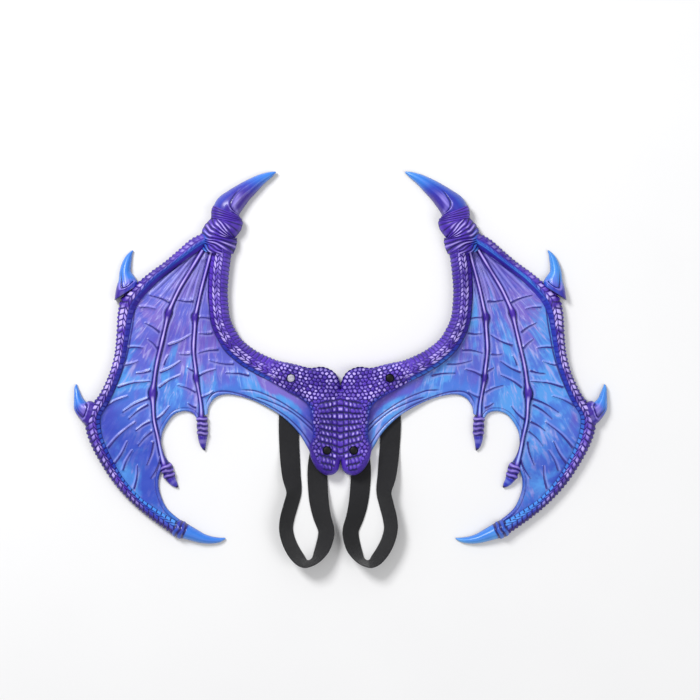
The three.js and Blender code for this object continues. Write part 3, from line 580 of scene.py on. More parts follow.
def horny(groove_rows, half_width, sheen, root_blue, one_side, blue_from, blue_to, lip_to):
    """A claw: smooth horn with a curved groove near its root, given as share along and side from -1 to 1.
    sheen is how strong the painted sheen is on the horn inside the groove, root_blue how blue it is at its
    root and one_side how much more so on its right. It grows bluer from blue_from to blue_to, and lip_to
    ends the raised lip beside the groove with its painted highlight."""
    def dress(along, over, length):
        side = over * 2 - 1
        share = along / length + 0 * side
        line = curved([(at * length, on * half_width) for at, on in groove_rows], 6)
        spots = np.stack(np.broadcast_arrays(along, side * half_width), -1).reshape(-1, 2)
        distance, gone, on = (found.reshape(share.shape) for found in nearest(line, spots))
        off = distance * on
        fade = 1 - ease(gone, 0.6, 1)
        dark = bell(off, 0.85 * MM) * fade
        second = bell(off - 3.2 * MM, 0.8 * MM) * fade
        # The raised lip beside the groove carries a painted highlight
        lip = bell(off + 2.2 * MM, 1.4 * MM) * (1 - ease(gone, lip_to * 0.5, lip_to))
        # Painted sheen on the horn inside the groove
        within = ease(off, 0.5 * MM, 3 * MM) * (1 - ease(distance, 5 * MM, 12 * MM)) * fade
        root = 1 - ease(along, 0.4 * MM, 2.4 * MM)
        streak = waves(share * 0.02, side * 0.05, 0.016, 5)
        bluer = ease(share, blue_from, blue_to)
        # A painted highlight streak down the horn
        sheen_line = bell(side + 0.15, 0.3) * ease(share, 0.1, 0.3)
        sheen_line = sheen_line * (1 - ease(share, 0.5, 0.75))
        blue = root_blue * (1 + one_side * side) * (1 - bluer) + 0.98 * bluer + 0.05 * streak
        return {
            "raise": (-1.3 * dark + 0.7 * lip - 0.5 * second + 0.12 * streak) * MM,
            "push": 0 * share,
            "groove": np.clip(dark + 0.35 * second + root, 0, 1),
            "crest": np.clip(0.6 * lip + sheen * (within + 0.5 * sheen_line) + 0.12 * streak, 0, 1),
            "blue": np.clip(blue, 0, 1.05),
        }
    return dress


def collared(along, over, length):
    """The bottom claw: two knobbly rings with painted highlights on their tops and painted shade between
    them, then smooth horn with a painted highlight streak.
    """
    at = along + 0 * over
    rings = 1 - ease(at, 17 * MM, 20 * MM)
    ring = ribbed(at / (8.2 * MM) + 0.12 * np.sin(over * 9), 2.5)
    knob = waves(at, over * 0.03, 0.008, 51)
    side = over * 2 - 1
    return {
        "raise": ((ring - 0.5) * 1.6 + 0.5 * knob) * rings * MM,
        "push": ((ring - 0.3) * 1.9 + 0.5 * knob) * rings * MM,
        "groove": np.clip((1 - ring) * rings + 0.25 * rings * ease(knob, 0, 1), 0, 1),
        "crest": np.clip(ring * rings * 0.3 * ease(knob, -0.5, 0.8)
                         + 0.3 * bell(side + 0.2, 0.25) * (1 - rings), 0, 1),
        "blue": 0.55 + 0.4 * (1 - rings) + 0.1 * ease(at / length, 0.4, 1) - 0.1 * side,
    }


def bony(rows):
    """A finger bone: a painted highlight along its top between darker knuckles, dark paint and painted shade
    along its sides, and bluer towards its tip.
    """
    table = np.array(rows, float)
    spots = place(table)
    gone = np.concatenate([[0], np.cumsum(np.hypot(*np.diff(spots, axis=0).T))])
    knuckles = gone[table[:, 2] > 1.1]

    def dress(along, over, length):
        mark = waves(along, over * 0.004, 0.03, 21)
        ridge = 1 - np.abs(over * 2 - 1)
        near = sum(bell(along - knuckle, 6 * MM) for knuckle in knuckles)
        return {
            "raise": 0.25 * MM * mark,
            "push": 0.3 * MM * mark,
            "groove": np.clip(0.85 * ease(1 - ridge, 0.6, 1) + 0.3 * near, 0, 1),
            "crest": np.clip(0.68 * ease(ridge, 0.25, 0.75) * (1 - 0.9 * near) + 0.15 * mark, 0, 1),
            "blue": 0.1 + 0.15 * mark + (0.42 - 0.3 * near) * ease(along / length, 0.3, 0.9),
        }
    return dress


def ringed(along, over, length):
    """A finger tip: rings with painted highlights on their tops and painted shade between them, then a small
    claw with a dark point.
    """
    share = along / length
    ring = ribbed(along / (7.2 * MM) + 0.1 * np.sin(over * 6), 2.5)
    rings = 1 - ease(share, 0.55, 0.62)
    return {
        "raise": (ring - 0.6) * rings * 1.4 * MM,
        "push": (ring - 0.4) * rings * 1.6 * MM,
        "groove": np.clip((1 - ring) * rings * 0.8 + ease(share, 0.86, 0.98), 0, 1),
        "crest": ring * rings * 0.5 + 0.4 * ease(share, 0.6, 0.7) * (1 - ease(share, 0.75, 0.9)) + 0 * over,
        "blue": 0.3 + 0.25 * ease(share, 0.4, 0.7) + 0 * over,
    }


# Pieces of the moulding


def arm_surface(spots):
    """The height of the bare upper arm over spots on the right side."""
    table = np.array(UPPER_ARM_ROWS, float)
    table = np.hstack([place(table), table[:, 2:3] * UPPER_ARM[0], table[:, 3:4] * UPPER_ARM[1]])
    path, _ = walked(curved(table), 2 * MM)
    distance, share, side = nearest(path[:, :2], spots)
    at = share * (len(path) - 1)
    index = np.arange(len(path))
    width = np.interp(at, index, path[:, 2])
    height = np.interp(at, index, path[:, 3])
    sides, rises = section(ARM_SECTION, 80, True)
    top = slice(6, -6)
    rise = np.interp(side * distance / (width / 2), sides[top], rises[top], left=0, right=0)
    return rise * height


def pebble_points():
    """Middles of the pebble scales on the right side, in rows that bend up along the arm, and how strong
    the painted highlight on each is."""
    draw = np.random.default_rng(7)
    low, high = place([(0, 17), (31, 53)])
    pitch, row_pitch = 6.5 * MM, 5.3 * MM
    points = []
    rows = int((high[1] - low[1] + 80 * MM) / row_pitch)
    for row in range(rows):
        for x in np.arange(low[0] + (row % 2) * pitch / 2, high[0], pitch):
            out = max(x - low[0] - 25 * MM, 0)
            y = low[1] - 70 * MM + row * row_pitch + 0.36 * out
            y = y - 0.35 * 25 * MM * (1 - math.exp(-out / 0.025))
            points.append((x + draw.uniform(-1.6, 1.6) * MM, y + draw.uniform(-1.2, 1.2) * MM,
                           draw.uniform(0.25, 1)))
    return points


def dice(row, column):
    """An even spread of numbers from 0 to 1 over the cells of a pattern."""
    mixed = np.sin(row * 12.99 + column * 78.23) * 437.58
    return mixed - np.floor(mixed)


def bars(x, y):
    """The bars of the middle of the pad: rows of beads that fan out beside a column of square plates, and
    the painted highlights (glints) on them.
    """
    top = place([(0, 38.4)])[0][1]
    slope = np.interp(y, [top - 62 * MM, top - 40 * MM, top - 22 * MM, top], [0.3, 0.22, 0, -0.25])
    row = (top - y + slope * x) / (10.3 * MM) + 0.1 * waves(x, y, 0.02, 41)
    bar = ribbed(row + 0.5, 3.6)
    column = x / (6.1 * MM) + 0.5 * (np.floor(row + 0.5) % 2) + 0.16 * waves(x, y, 0.018, 42)
    bead = ribbed(column, 3)
    plate = x < 12.5 * MM
    edge = np.minimum(np.abs(x - 5 * MM), np.abs(x - 12.5 * MM))
    split = ease(edge, 0, 1.6 * MM)
    body = np.where(plate, 1, 0.25 + 0.75 * bead)
    bright = 0.45 + 0.55 * dice(np.floor(row + 0.5), np.floor(column))
    return bar * body * split, bar ** 3 * np.where(plate, ease(edge, 1 * MM, 3 * MM), bead ** 2) * bright


def pad_shape(spots):
    """The domed pad over spots on either side, with pebbled scales and seats for the caps. Painted
    highlights lie on the pebbles and bars, painted shade between them and round the cap seats.
    """
    half = spots.copy()
    half[:, 0] = ORIGIN[0] + np.abs(spots[:, 0] - ORIGIN[0])
    x, y = half[:, 0] - ORIGIN[0], half[:, 1]
    edge = nearest(curved(place(PAD)), half)[0]
    body = nearest(curved(place(BODY_EDGE), 4), half)[0]
    round_in = np.clip(body / PAD_ROUND, 0, 1)
    dome = PAD_HEIGHT * (0.3 + 0.7 * np.sqrt(1 - (1 - round_in) ** 2))
    across = x * 100 / HALF_SPAN
    up = (y - ORIGIN[1]) * 100 / WING_HEIGHT
    inner = 1 - ease(across, 9, 20)
    arm = arm_surface(half)
    base = dome * inner + np.maximum(arm, dome * 0.4 * (1 - ease(across, 18, 26))) * (1 - inner)
    points = pebble_points()
    tree = KDTree(len(points))
    for index, (px, py, _) in enumerate(points):
        tree.insert((px, py, 0), index)
    tree.balance()
    found = [tree.find_n((*spot, 0), 2) for spot in half]
    first, second = (np.array([pair[turn][2] for pair in found]) for turn in (0, 1))
    bright = np.array([points[pair[0][1]][2] for pair in found])
    pebble = ease(1 - first / np.maximum(second, 1e-6), 0.02, 0.62)
    bar, glint = bars(x, y)
    wander = 3 * MM * waves(x, y, 0.025, 43)
    bars_end = place([(0, 38), (0, 40.5)])[:, 1]
    barred = (1 - ease(x + wander, 29 * MM, 34 * MM)) * (1 - ease(y + wander, *bars_end))
    rise = np.sqrt(pebble) * (1 - barred) + np.sqrt(np.clip(bar, 0, 1)) * barred
    # Painted highlights on the pebbles and on the beads and plates of the bars
    light = ease(pebble, 0.66, 1.12) * bright * (1 - barred) + glint * barred
    lobe = 1 - ease(up, 23, 29)
    plain = 1 - ease(edge, (0.6 + 4.9 * lobe) * MM, (2.2 + 6.3 * lobe) * MM)
    end = ease(across, 24.5, 28.5)
    shown = (1 - end) * (1 - plain)
    top = base + 2.0 * MM * rise * shown - 2.2 * MM * ease(across, 26.4, 28.8) + 0.25 * MM
    beside = ease(up, 25, 30) * (1 - ease(up, 41, 43)) * ease(across, 4, 8)
    by_membrane = (1 - ease(edge, 2 * MM, 9 * MM)) * beside
    rim = np.zeros(len(half))
    for fixing, node in ((UPPER_FIXING, "right_upper_fixing"), (LOWER_FIXING, "right_lower_fixing")):
        middle = place([fixing])[0]
        gap = np.hypot(*(half - middle).T)
        seat = 1 - ease(gap, 5.9 * MM, 6.6 * MM)
        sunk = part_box(node)[1].z - 3 * MM - lift(middle[0])
        top = top * (1 - seat) + sunk * seat
        rim = np.maximum(rim, 1 - ease(gap, 6 * MM, 8 * MM))
    # Dark paint and painted shade between the pebbles, at the plain margin and round the cap seats
    values = {
        "groove": np.clip((1 - ease(rise, 0.28, 0.86)) * shown + 0.35 * plain * (1 - end) + 0.9 * rim, 0, 1),
        "crest": light * shown * (0.9 - 0.18 * barred) * (1 + 0.4 * waves(x, y, 0.03, 9)) + 0.12 * plain,
        "blue": 0.12 + 0.25 * waves(x, y, 0.05, 4) + 0.15 * plain * lobe + 0.45 * by_membrane,
    }
    return lift(spots[:, 0]) + np.maximum(top, 1 * MM), values


def knobbly(outline, from_up):
    """An outline whose part above from_up bulges at each scale."""
    path, gone = walked(outline, 0.8 * MM)
    bulged = path[:, 1] > place([(0, from_up)])[0][1]
    bulge = 0.9 * MM * np.abs(np.sin(math.pi * gone / (6.9 * MM))) * bulged
    return path - rights(path) * bulge[:, None]


def centre_pad():
    half = knobbly(curved(place(PAD)), 41)
    other = mirror(half, "left")[::-1]
    outline = np.vstack([half, other[1:-1]])
    return cut_sheet("centre_pad", outline, SCALE_CELL, pad_shape, lambda x: lift(x))


def vein_line(row, bow):
    """A vein's line with a slight bow."""
    start, end = place([row[:2]])[0], place([row[2:]])[0]
    way = end - start
    middle = (start + end) / 2 + np.array([way[1], -way[0]]) * bow
    return curved([start, middle, end], 5)


def membrane(side):
    outline = np.vstack([curved(place(table), 8) for table in (OUTER_SCALLOP, MIDDLE_SCALLOP, TRAILING_EDGE)]
                        + [place(UNDER_PAD), place(UNDER_ARMS)])
    edges = [curved(place(table), 8) for table in (OUTER_SCALLOP, MIDDLE_SCALLOP, TRAILING_EDGE)]
    fan_centre = place([(48.5, 82)])[0]
    lilac_centre = place([(87.6, 33.6)])[0]

    def shape(seen):
        spots = mirror(seen, side)
        x, y = spots.T
        way = spots - fan_centre
        reach = np.hypot(*way.T)
        fan = np.arctan2(way[:, 0], -way[:, 1])
        groove = np.zeros(len(spots))
        crest = np.zeros(len(spots))
        band = np.zeros(len(spots))
        by_bone = np.zeros(len(spots))
        rise = 1.1 * MM * waves(fan * 0.12, reach * 0.25, 0.05, 8 + (side == "left"))
        rise += 0.5 * MM * waves(x, y, 0.02, 15)
        to_edge = np.min([nearest(line, spots)[0] for line in edges], axis=0)
        rise *= ease(to_edge, 2 * MM, 14 * MM)
        for rows in (INNER_BONE_ROWS, OUTER_BONE_ROWS):
            table = np.array(rows, float)
            table = np.hstack([place(table), table[:, 2:3] * BONE[0] / 2])
            path, _ = walked(curved(table), 2 * MM)
            distance, share, _ = nearest(path[:, :2], spots)
            half = np.interp(share * (len(path) - 1), np.arange(len(path)), path[:, 2])
            off = distance - half
            line = bell(off - 0.4 * MM, 1.0 * MM)
            groove = np.maximum(groove, 0.85 * line)
            second = bell(off - 5.2 * MM, 1.3 * MM) * ease(share, 0.75, 0.25)
            crest = np.maximum(crest, 0.6 * bell(off - 3 * MM, 1.4 * MM))
            by_bone = np.maximum(by_bone, bell(off, 11 * MM) * (1 - ease(share, 0.35, 0.65)))
            groove = np.maximum(groove, 0.5 * second)
            rise += -1.2 * MM * line + 0.9 * MM * bell(off, 4 * MM)
        for index, row in enumerate(VEINS):
            line = vein_line(row, 0.05 if index % 2 else -0.05)
            distance, share, on = nearest(line, spots)
            half = (2.1 - 1.4 * share) * MM
            ends = ease(share, 0, 0.1) * (1 - ease(share, 0.98, 1) * (distance > half))
            body = np.exp(-(distance / half) ** 4) * ends
            # A dark inked vein with a painted highlight along one flank
            pale = bell(distance * on - half - 1.3 * MM, 1.1 * MM) * ends
            groove = np.maximum(groove, (0.95 if index % 3 else 0.75) * body)
            crest = np.maximum(crest * (1 - body), 0.7 * pale)
            rise += (1.7 * bell(distance, half * 1.4 + 0.6 * MM) - 0.4 * pale) * ends * MM
        for line in FOLDS:
            distance, share, on = nearest(curved(place(line), 6), spots)
            strength = (1 - ease(share, 0.7, 1)) * ease(share, 0, 0.1)
            groove = np.maximum(groove, 0.6 * bell(distance - 3 * MM, 1.0 * MM) * strength)
            crest = np.maximum(crest, 0.7 * bell(distance, 2.2 * MM) * strength)
            rise += 2.0 * MM * bell(distance, 1.8 * MM) * strength
        for line in RIM_GROOVES:
            distance, share, on = nearest(curved(place(line)), spots)
            ink = bell(distance, 1.3 * MM) * ease(share, 0, 0.12)
            groove = np.maximum(groove, 0.9 * ink)
            shoulder = bell(distance * on + 2.2 * MM, 1.1 * MM) * ease(share, 0, 0.12)
            crest = np.maximum(crest, 0.4 * shoulder)
            rise += (0.7 * shoulder - 1.0 * ink) * MM
            band = np.maximum(band, bell(distance, 9 * MM) * ease(share, 0, 0.3))
        for line in edges[:2]:
            distance, _, _ = nearest(line, spots)
            ink = bell(distance - 5.2 * MM, 0.9 * MM)
            groove = np.maximum(groove, 0.75 * ink)
            rise += (-0.8 * ink + 0.9 * bell(distance - 2.4 * MM, 1.8 * MM)) * MM
        groove = np.maximum(groove, 0.55 * (1 - ease(to_edge, 0.3 * MM, 1.8 * MM)))
        rise -= 2.4 * MM * (1 - ease(to_edge, 0, 2.2 * MM))
        for rows, size in ((UPPER_ARM_ROWS, UPPER_ARM), (OUTER_ARM_ROWS, OUTER_ARM)):
            table = np.array(rows, float)
            path = curved(np.hstack([place(table), table[:, 2:3] * size[0] / 2]), 6)
            distance, share, _ = nearest(path[:, :2], spots)
            half = np.interp(share * (len(path) - 1), np.arange(len(path)), path[:, 2])
            # Painted shade on the membrane beside the arms
            dark = 0.85 * bell(distance - half - 0.5 * MM, 1.6 * MM)
            if size == UPPER_ARM:
                dark *= 1 - ease(share, 0.7, 0.76)
            else:
                dark *= 1 - 0.55 * ease(share, 0.5, 0.62)
            groove = np.maximum(groove, dark)
        by_pad = nearest(curved(place(PAD), 4), spots)[0]
        # Painted shade on the membrane beside the pad
        groove = np.maximum(groove, 0.5 * bell(by_pad, 3.5 * MM))
        values = {"groove": groove, "crest": crest, "fan": fan, "reach": reach}
        blue = ease(reach, 0.06, 0.3) + 0.25 * waves(x, y, 0.12, 31) + 0.8 * band - 0.6 * by_bone
        aside, above = (x - lilac_centre[0]) / (9 * MM), (y - lilac_centre[1]) / (26 * MM)
        lilac_spot = np.exp(-(aside ** 2 + above ** 2))
        values["blue"] = blue - 1.5 * bell(by_pad, 15 * MM) - 0.85 * lilac_spot
        return lift(x) + MEMBRANE_THICKNESS + rise, values

    return cut_sheet(f"{side}_membrane", mirror(outline, side), MEMBRANE_CELL, shape,
                     lambda x: lift(x) + 0.5 * MM)


def small_forms():
    """Claws and other small forms of a side: name, rows, size, dress, points across, slant of the root in
    millimetres, and how boxy the root is."""
    return [
        ("cuff", CUFF_ROWS, CUFF, wrinkled, 80, (-6, 9), 0.5),
        ("thumb_claw", THUMB_CLAW_ROWS, THUMB_CLAW,
         horny(THUMB_GROOVE, 14 * MM, 0.45, 0.3, 0.75, 0.35, 0.9, 0.5), 56, (0, 0), 0),
        ("upper_outer_claw", UPPER_OUTER_CLAW_ROWS, OUTER_CLAW,
         horny(UPPER_GROOVE, 11 * MM, 0.35, 0.36, -0.6, 0.08, 0.5, 0.8), 48, (23, -2), 0.5),
        ("lower_outer_claw", LOWER_OUTER_CLAW_ROWS, OUTER_CLAW,
         horny(LOWER_GROOVE, 11 * MM, 0.45, 0.16, 0, 0.2, 0.6, 0.8), 48, (7, 1), 0.6),
        ("bottom_claw", BOTTOM_CLAW_ROWS, BOTTOM_CLAW, collared, 40, (0, 0), 0),
        ("inner_finger_tip", INNER_TIP_ROWS, FINGER_TIP, ringed, 40, (0, 0), 0),
        ("outer_finger_tip", OUTER_TIP_ROWS, FINGER_TIP, ringed, 40, (0, 0), 0),
    ]


def half_moulding(side):
    shown_arm = [*UPPER_ARM_ROWS[:10], (22.5, 46.1, 1.15, 0.93)]
    pieces = [
        relief("upper_arm", side, shown_arm, UPPER_ARM, ARM_SECTION,
               scaled(UPPER_ARM_COLUMNS, 2.4 * MM, 0.01, 0, 0.6), 80, 0.2 * MM, turned=True),
        relief("outer_arm", side, OUTER_ARM_ROWS, OUTER_ARM, ARM_SECTION,
               scaled(OUTER_ARM_COLUMNS, 2.2 * MM, 0.32, 0.5, 0), 64, 0.2 * MM),
        membrane(side),
    ]
    for name, rows, size, dress, count, root, boxy in small_forms():
        root = (root[0] * MM, root[1] * MM)
        pieces.append(relief(name, side, rows, size, ROUND_SECTION, dress, count, 0.3 * MM,
                             root=root, boxy=boxy, step=0.7 * MM))
    for name, rows in (("inner_bone", INNER_BONE_ROWS), ("outer_bone", OUTER_BONE_ROWS)):
        pieces.append(relief(name, side, rows, BONE, BONE_SECTION, bony(rows), 20, 1.5 * MM, step=1.2 * MM))
    return pieces


# Straps: aside, down, lean and seat, as the solids have them
LOOP = [
    (-0.05, -0.4, 0, 1), (-0.07, -0.2, 0, 0.6), (-0.05, 0, 2, 0), (0, 0.21, 22, 0), (0.07, 0.35, 42, 0),
    (-0.01, 0.46, 44, 0), (-0.11, 0.57, 45, 0), (-0.15, 0.67, 48, 0), (-0.08, 0.77, 49, 0),
    (0.06, 0.86, 50, 0), (0.23, 0.93, 56, 0), (0.375, 0.965, 68, 0), (0.52, 0.965, 75, 0),
    (0.66, 0.94, 70, 0), (0.77, 0.895, 57, 0), (0.89, 0.825, 43, 0), (0.97, 0.74, 38, 0),
    (0.975, 0.67, 35, 0), (0.86, 0.56, 26, 0), (0.78, 0.44, 15, 0), (0.74, 0.3, 4, 0), (0.73, 0.18, 0, 0.5),
    (0.76, 0.085, 0, 1), (0.81, 0.015, 0, 1), (0.9, -0.04, 0, 1),
]
RIGHT_SWAY = 7.5 * MM


def strap(side):
    """A woven elastic band that stands on its outer edge where it leans."""
    sway = RIGHT_SWAY if side == "right" else 0
    upper, lower = place([UPPER_FIXING])[0], place([LOWER_FIXING])[0]
    rows = [(upper[0] + (lower[0] - upper[0]) * aside - sway * max(0.4 + 0.6 * down, 0),
             lower[1] - down * STRAP_DROP, lean, seat) for aside, down, lean, seat in LOOP]
    tip, before = np.array(rows[-1][:2]), np.array(rows[-2][:2])
    end = tip + (tip - before) / np.hypot(*(tip - before)) * STRAP_END
    rows = [(upper[0], upper[1] + STRAP_END, 0, 1), *rows, (end[0], end[1], 0, 1)]
    path, gone = walked(curved(rows, 16), 1.5 * MM)
    right = rights(path)
    angle = np.radians(np.maximum(path[:, 2], 0))[:, None]
    seat = np.maximum(path[:, 3], 0)[:, None] * STRAP_SEAT
    flat = np.linspace(-1, 1, 33)
    edge = 0.32 * STRAP_THICKNESS
    wide = np.concatenate([flat, flat[::-1]])[None, :]
    thick = np.concatenate([np.zeros(33), np.ones(33)])[None, :] * STRAP_THICKNESS
    corner = (np.abs(wide) == 1) * np.where(thick > 0, -edge, edge)
    thick = thick + corner
    across = wide * STRAP_WIDTH / 2
    over = across * np.cos(angle) + thick * np.sin(angle)
    rise = (STRAP_WIDTH / 2 - across) * np.sin(angle)
    places = np.zeros((len(path), wide.shape[1], 3))
    places[..., 0] = path[:, 0:1] + right[:, 0:1] * over
    places[..., 1] = path[:, 1:2] + right[:, 1:2] * over
    places[..., 2] = seat + rise + thick * np.cos(angle)
    values = {"along": np.broadcast_to(gone[:, None], places.shape[:2]),
              "across": np.broadcast_to(across, places.shape[:2])}
    piece = skin(f"{side}_elastic_strap", mirror(places, side), values)
    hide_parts(f"{side}_strap")
    return piece


def turned(name, profile, centre):
    """A round piece spun from its profile of radius and height."""
    bpy.ops.object.select_all(action="DESELECT")
    bpy.ops.mesh.primitive_grid_add(x_subdivisions=1, y_subdivisions=len(profile) - 1, size=1)
    piece = bpy.context.active_object
    piece.name = name
    line = [(centre.x + radius, centre.y, height) for radius, height in profile]
    set_places(piece, [spot for spot in line for _ in range(2)])
    start_edit()
    bpy.ops.mesh.select_all(action="SELECT")
    bpy.ops.mesh.remove_doubles(threshold=1e-7)
    bpy.ops.mesh.select_all(action="SELECT")
    bpy.ops.mesh.spin(steps=48, angle=2 * math.pi, center=(centre.x, centre.y, 0), axis=(0, 0, 1))
    bpy.ops.mesh.select_all(action="SELECT")
    bpy.ops.mesh.remove_doubles(threshold=1e-6)
    bpy.ops.mesh.select_all(action="SELECT")
    bpy.ops.mesh.normals_make_consistent(inside=False)
    bpy.ops.object.mode_set(mode="OBJECT")
    return piece


def fixings():
    """Domed caps in front and plain washers behind, at the places of the solids."""
    made = []
    for side in ("left", "right"):
        for spot in ("upper", "lower"):
            node = f"{side}_{spot}_fixing"
            low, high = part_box(node)
            radius = (high.x - low.x) / 2
            post = 2.5 * MM
            seat = high.z - 2.4 * MM
            dome = [(radius * math.cos(a), seat + 0.9 * MM + 1.5 * MM * math.sin(a))
                    for a in np.linspace(0, math.pi / 2, 9)]
            profile = [(0, low.z), (post, low.z), (post, seat), (radius, seat), *dome[:-1], (0, high.z)]
            cap = turned(f"{side}_{spot}_cap", profile, (low + high) / 2)
            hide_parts(node)
            pale = (side, spot) == ("left", "upper")
            cap.data.materials.append(cap_finish(pale))
            node = f"{side}_{spot}_washer"
            low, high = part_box(node)
            outer, inner, round_off = (high.x - low.x) / 2, EYELET_RADIUS, 0.25 * MM
            profile = [(inner, low.z), (outer - round_off, low.z), (outer, low.z + round_off),
                       (outer, high.z - round_off), (outer - round_off, high.z),
                       (inner, high.z), (inner, low.z)]
            ring = turned(f"{side}_{spot}_disc", profile, (low + high) / 2)
            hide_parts(node)
            ring.data.materials.append(cap_finish(False))
            made += [cap, ring]
    return made


# Materials


def colour(red, green, blue):
    """A colour as seen, from 0 to 255, in the renderer's own values."""
    seen = [channel / 255 for channel in (red, green, blue)]
    return (*[c / 12.92 if c <= 0.04045 else ((c + 0.055) / 1.055) ** 2.4 for c in seen], 1)


# INK_AND_SHADE is both the dark paint and the painted shade in grooves; LILAC is both lilac paint and
# painted highlights
INK_AND_SHADE = colour(24, 9, 92)
PURPLE = colour(56, 22, 150)
VIOLET = colour(92, 56, 196)
LILAC = colour(198, 180, 255)
DEEP_BLUE = colour(38, 58, 184)
SKY = colour(76, 150, 240)
CLAW_BLUE = colour(52, 128, 228)


class Socket:
    """One output of a material's nodes, written with in plain arithmetic."""

    def __init__(self, finish, output):
        self.finish = finish
        self.output = output

    def math(self, operation, *values):
        return self.finish.node("ShaderNodeMath", {"operation": operation}, dict(enumerate(values)))

    def __add__(self, other):
        return self.math("ADD", self, other)

    def __sub__(self, other):
        return self.math("SUBTRACT", self, other)

    def __rsub__(self, other):
        return self.math("SUBTRACT", other, self)

    def __mul__(self, other):
        return self.math("MULTIPLY", self, other)

    __radd__ = __add__
    __rmul__ = __mul__


class Finish:
    """A material and the means to add nodes to it."""

    def __init__(self, name, constants):
        self.material = bpy.data.materials.new(name)
        self.material.use_nodes = True
        self.tree = self.material.node_tree
        self.shader = self.tree.nodes["Principled BSDF"]
        for key, value in constants.items():
            self.shader.inputs[key].default_value = value
        self.place = self.node("ShaderNodeTexCoord", output="Object")

    def plug(self, entry, value):
        if isinstance(value, Socket):
            self.tree.links.new(value.output, entry)
        else:
            entry.default_value = value

    def node(self, kind, settings=None, values=None, output=0):
        made = self.tree.nodes.new(kind)
        for key, value in (settings or {}).items():
            if key == "stops":
                while len(made.color_ramp.elements) < len(value):
                    made.color_ramp.elements.new(0.5)
                for element, (position, tint) in zip(made.color_ramp.elements, value):
                    element.position = position
                    element.color = tint
            else:
                setattr(made, key, value)
        for key, value in (values or {}).items():
            self.plug(made.inputs[key], value)
        return Socket(self, made.outputs[output])

    def value(self, name):
        return self.node("ShaderNodeAttribute", {"attribute_name": name}, output="Fac")

    def noise(self, scale, detail=4, place=None, distortion=0, roughness=0.55):
        values = {"Vector": place or self.place, "Scale": scale, "Detail": detail,
                  "Distortion": distortion, "Roughness": roughness}
        return self.node("ShaderNodeTexNoise", {}, values, "Fac")

    def ease(self, value, low, high):
        values = {"Value": value, "From Min": low, "From Max": high}
        return self.node("ShaderNodeMapRange", {"interpolation_type": "SMOOTHSTEP"}, values)

    def mix(self, share, first, second):
        return self.node("ShaderNodeMix", {"data_type": "RGBA"}, {0: share, 6: first, 7: second}, 2)

    def bump(self, height, depth, after=None):
        values = {"Height": height, "Distance": depth, "Strength": 1}
        if after:
            values["Normal"] = after
        return self.node("ShaderNodeBump", {}, values)

    def wear(self, **sockets):
        for key, value in sockets.items():
            self.plug(self.shader.inputs[key.replace("_", " ")], value)
        return self.material


def foam_finish(name, light, blue_shift):
    """Purple foam with blue overspray, dark paint and painted shade in its grooves, and lilac brushed over
    its crests together with painted highlights.
    """
    finish = Finish(name, {"Specular IOR Level": 0.4, "Coat Roughness": 0.3, "Coat Weight": 0.1})
    cloud = finish.noise(22, 5)
    speck = finish.noise(420, 3)
    blue = finish.value("blue") + (cloud - 0.5) * 0.5 + blue_shift
    base = finish.mix(finish.ease(cloud, 0.35, 0.75), PURPLE, VIOLET)
    base = finish.mix(finish.ease(blue, 0.25, 0.8), base, DEEP_BLUE)
    base = finish.mix(finish.ease(blue, 0.75, 1.2), base, SKY)
    # Lilac paint and painted highlights over the crests
    brushed_and_highlit = finish.value("crest") * (0.7 + finish.noise(60, 4) * 0.6) * light
    pale = finish.mix(finish.ease(blue, 0.4, 0.9), LILAC, colour(110, 176, 250))
    base = finish.mix(finish.ease(brushed_and_highlit, 0.18, 0.85), base, pale)
    # Dark paint and painted shade in the grooves and recesses
    dark = finish.value("groove") + (speck - 0.5) * 0.25
    base = finish.mix(finish.ease(dark, 0.2, 0.85), base, INK_AND_SHADE)
    rough = 0.36 + finish.noise(90, 3) * 0.16 + finish.value("groove") * 0.15
    pores = finish.bump(speck, 0.12 * MM)
    return finish.wear(Base_Color=base, Roughness=rough, Normal=finish.bump(cloud, 0.5 * MM, pores))


def claw_finish(name, tint_shift):
    """Claws: blue horn over a purple root, streaked along and lighter at the point, with painted highlights
    and painted sheen on the horn and dark paint with painted shade in the grooves.
    """
    finish = Finish(name, {"Specular IOR Level": 0.5, "Coat Roughness": 0.2, "Coat Weight": 0.3})
    cloud = finish.noise(40, 4)
    blue = finish.value("blue") + (cloud - 0.5) * 0.3 + tint_shift
    base = finish.mix(finish.ease(blue, 0.12, 0.55), PURPLE, DEEP_BLUE)
    base = finish.mix(finish.ease(blue, 0.4, 0.95), base, CLAW_BLUE)
    base = finish.mix(finish.ease(blue, 0.9, 1.3), base, colour(84, 176, 242))
    # Painted highlights and painted sheen
    base = finish.mix(finish.ease(finish.value("crest"), 0.1, 1), base, colour(156, 142, 240))
    base = finish.mix(finish.ease(finish.value("groove"), 0.15, 0.9), base, colour(20, 16, 104))
    rough = 0.3 + finish.noise(120, 3) * 0.15
    return finish.wear(Base_Color=base, Roughness=rough, Normal=finish.bump(finish.noise(500, 2), 0.08 * MM))


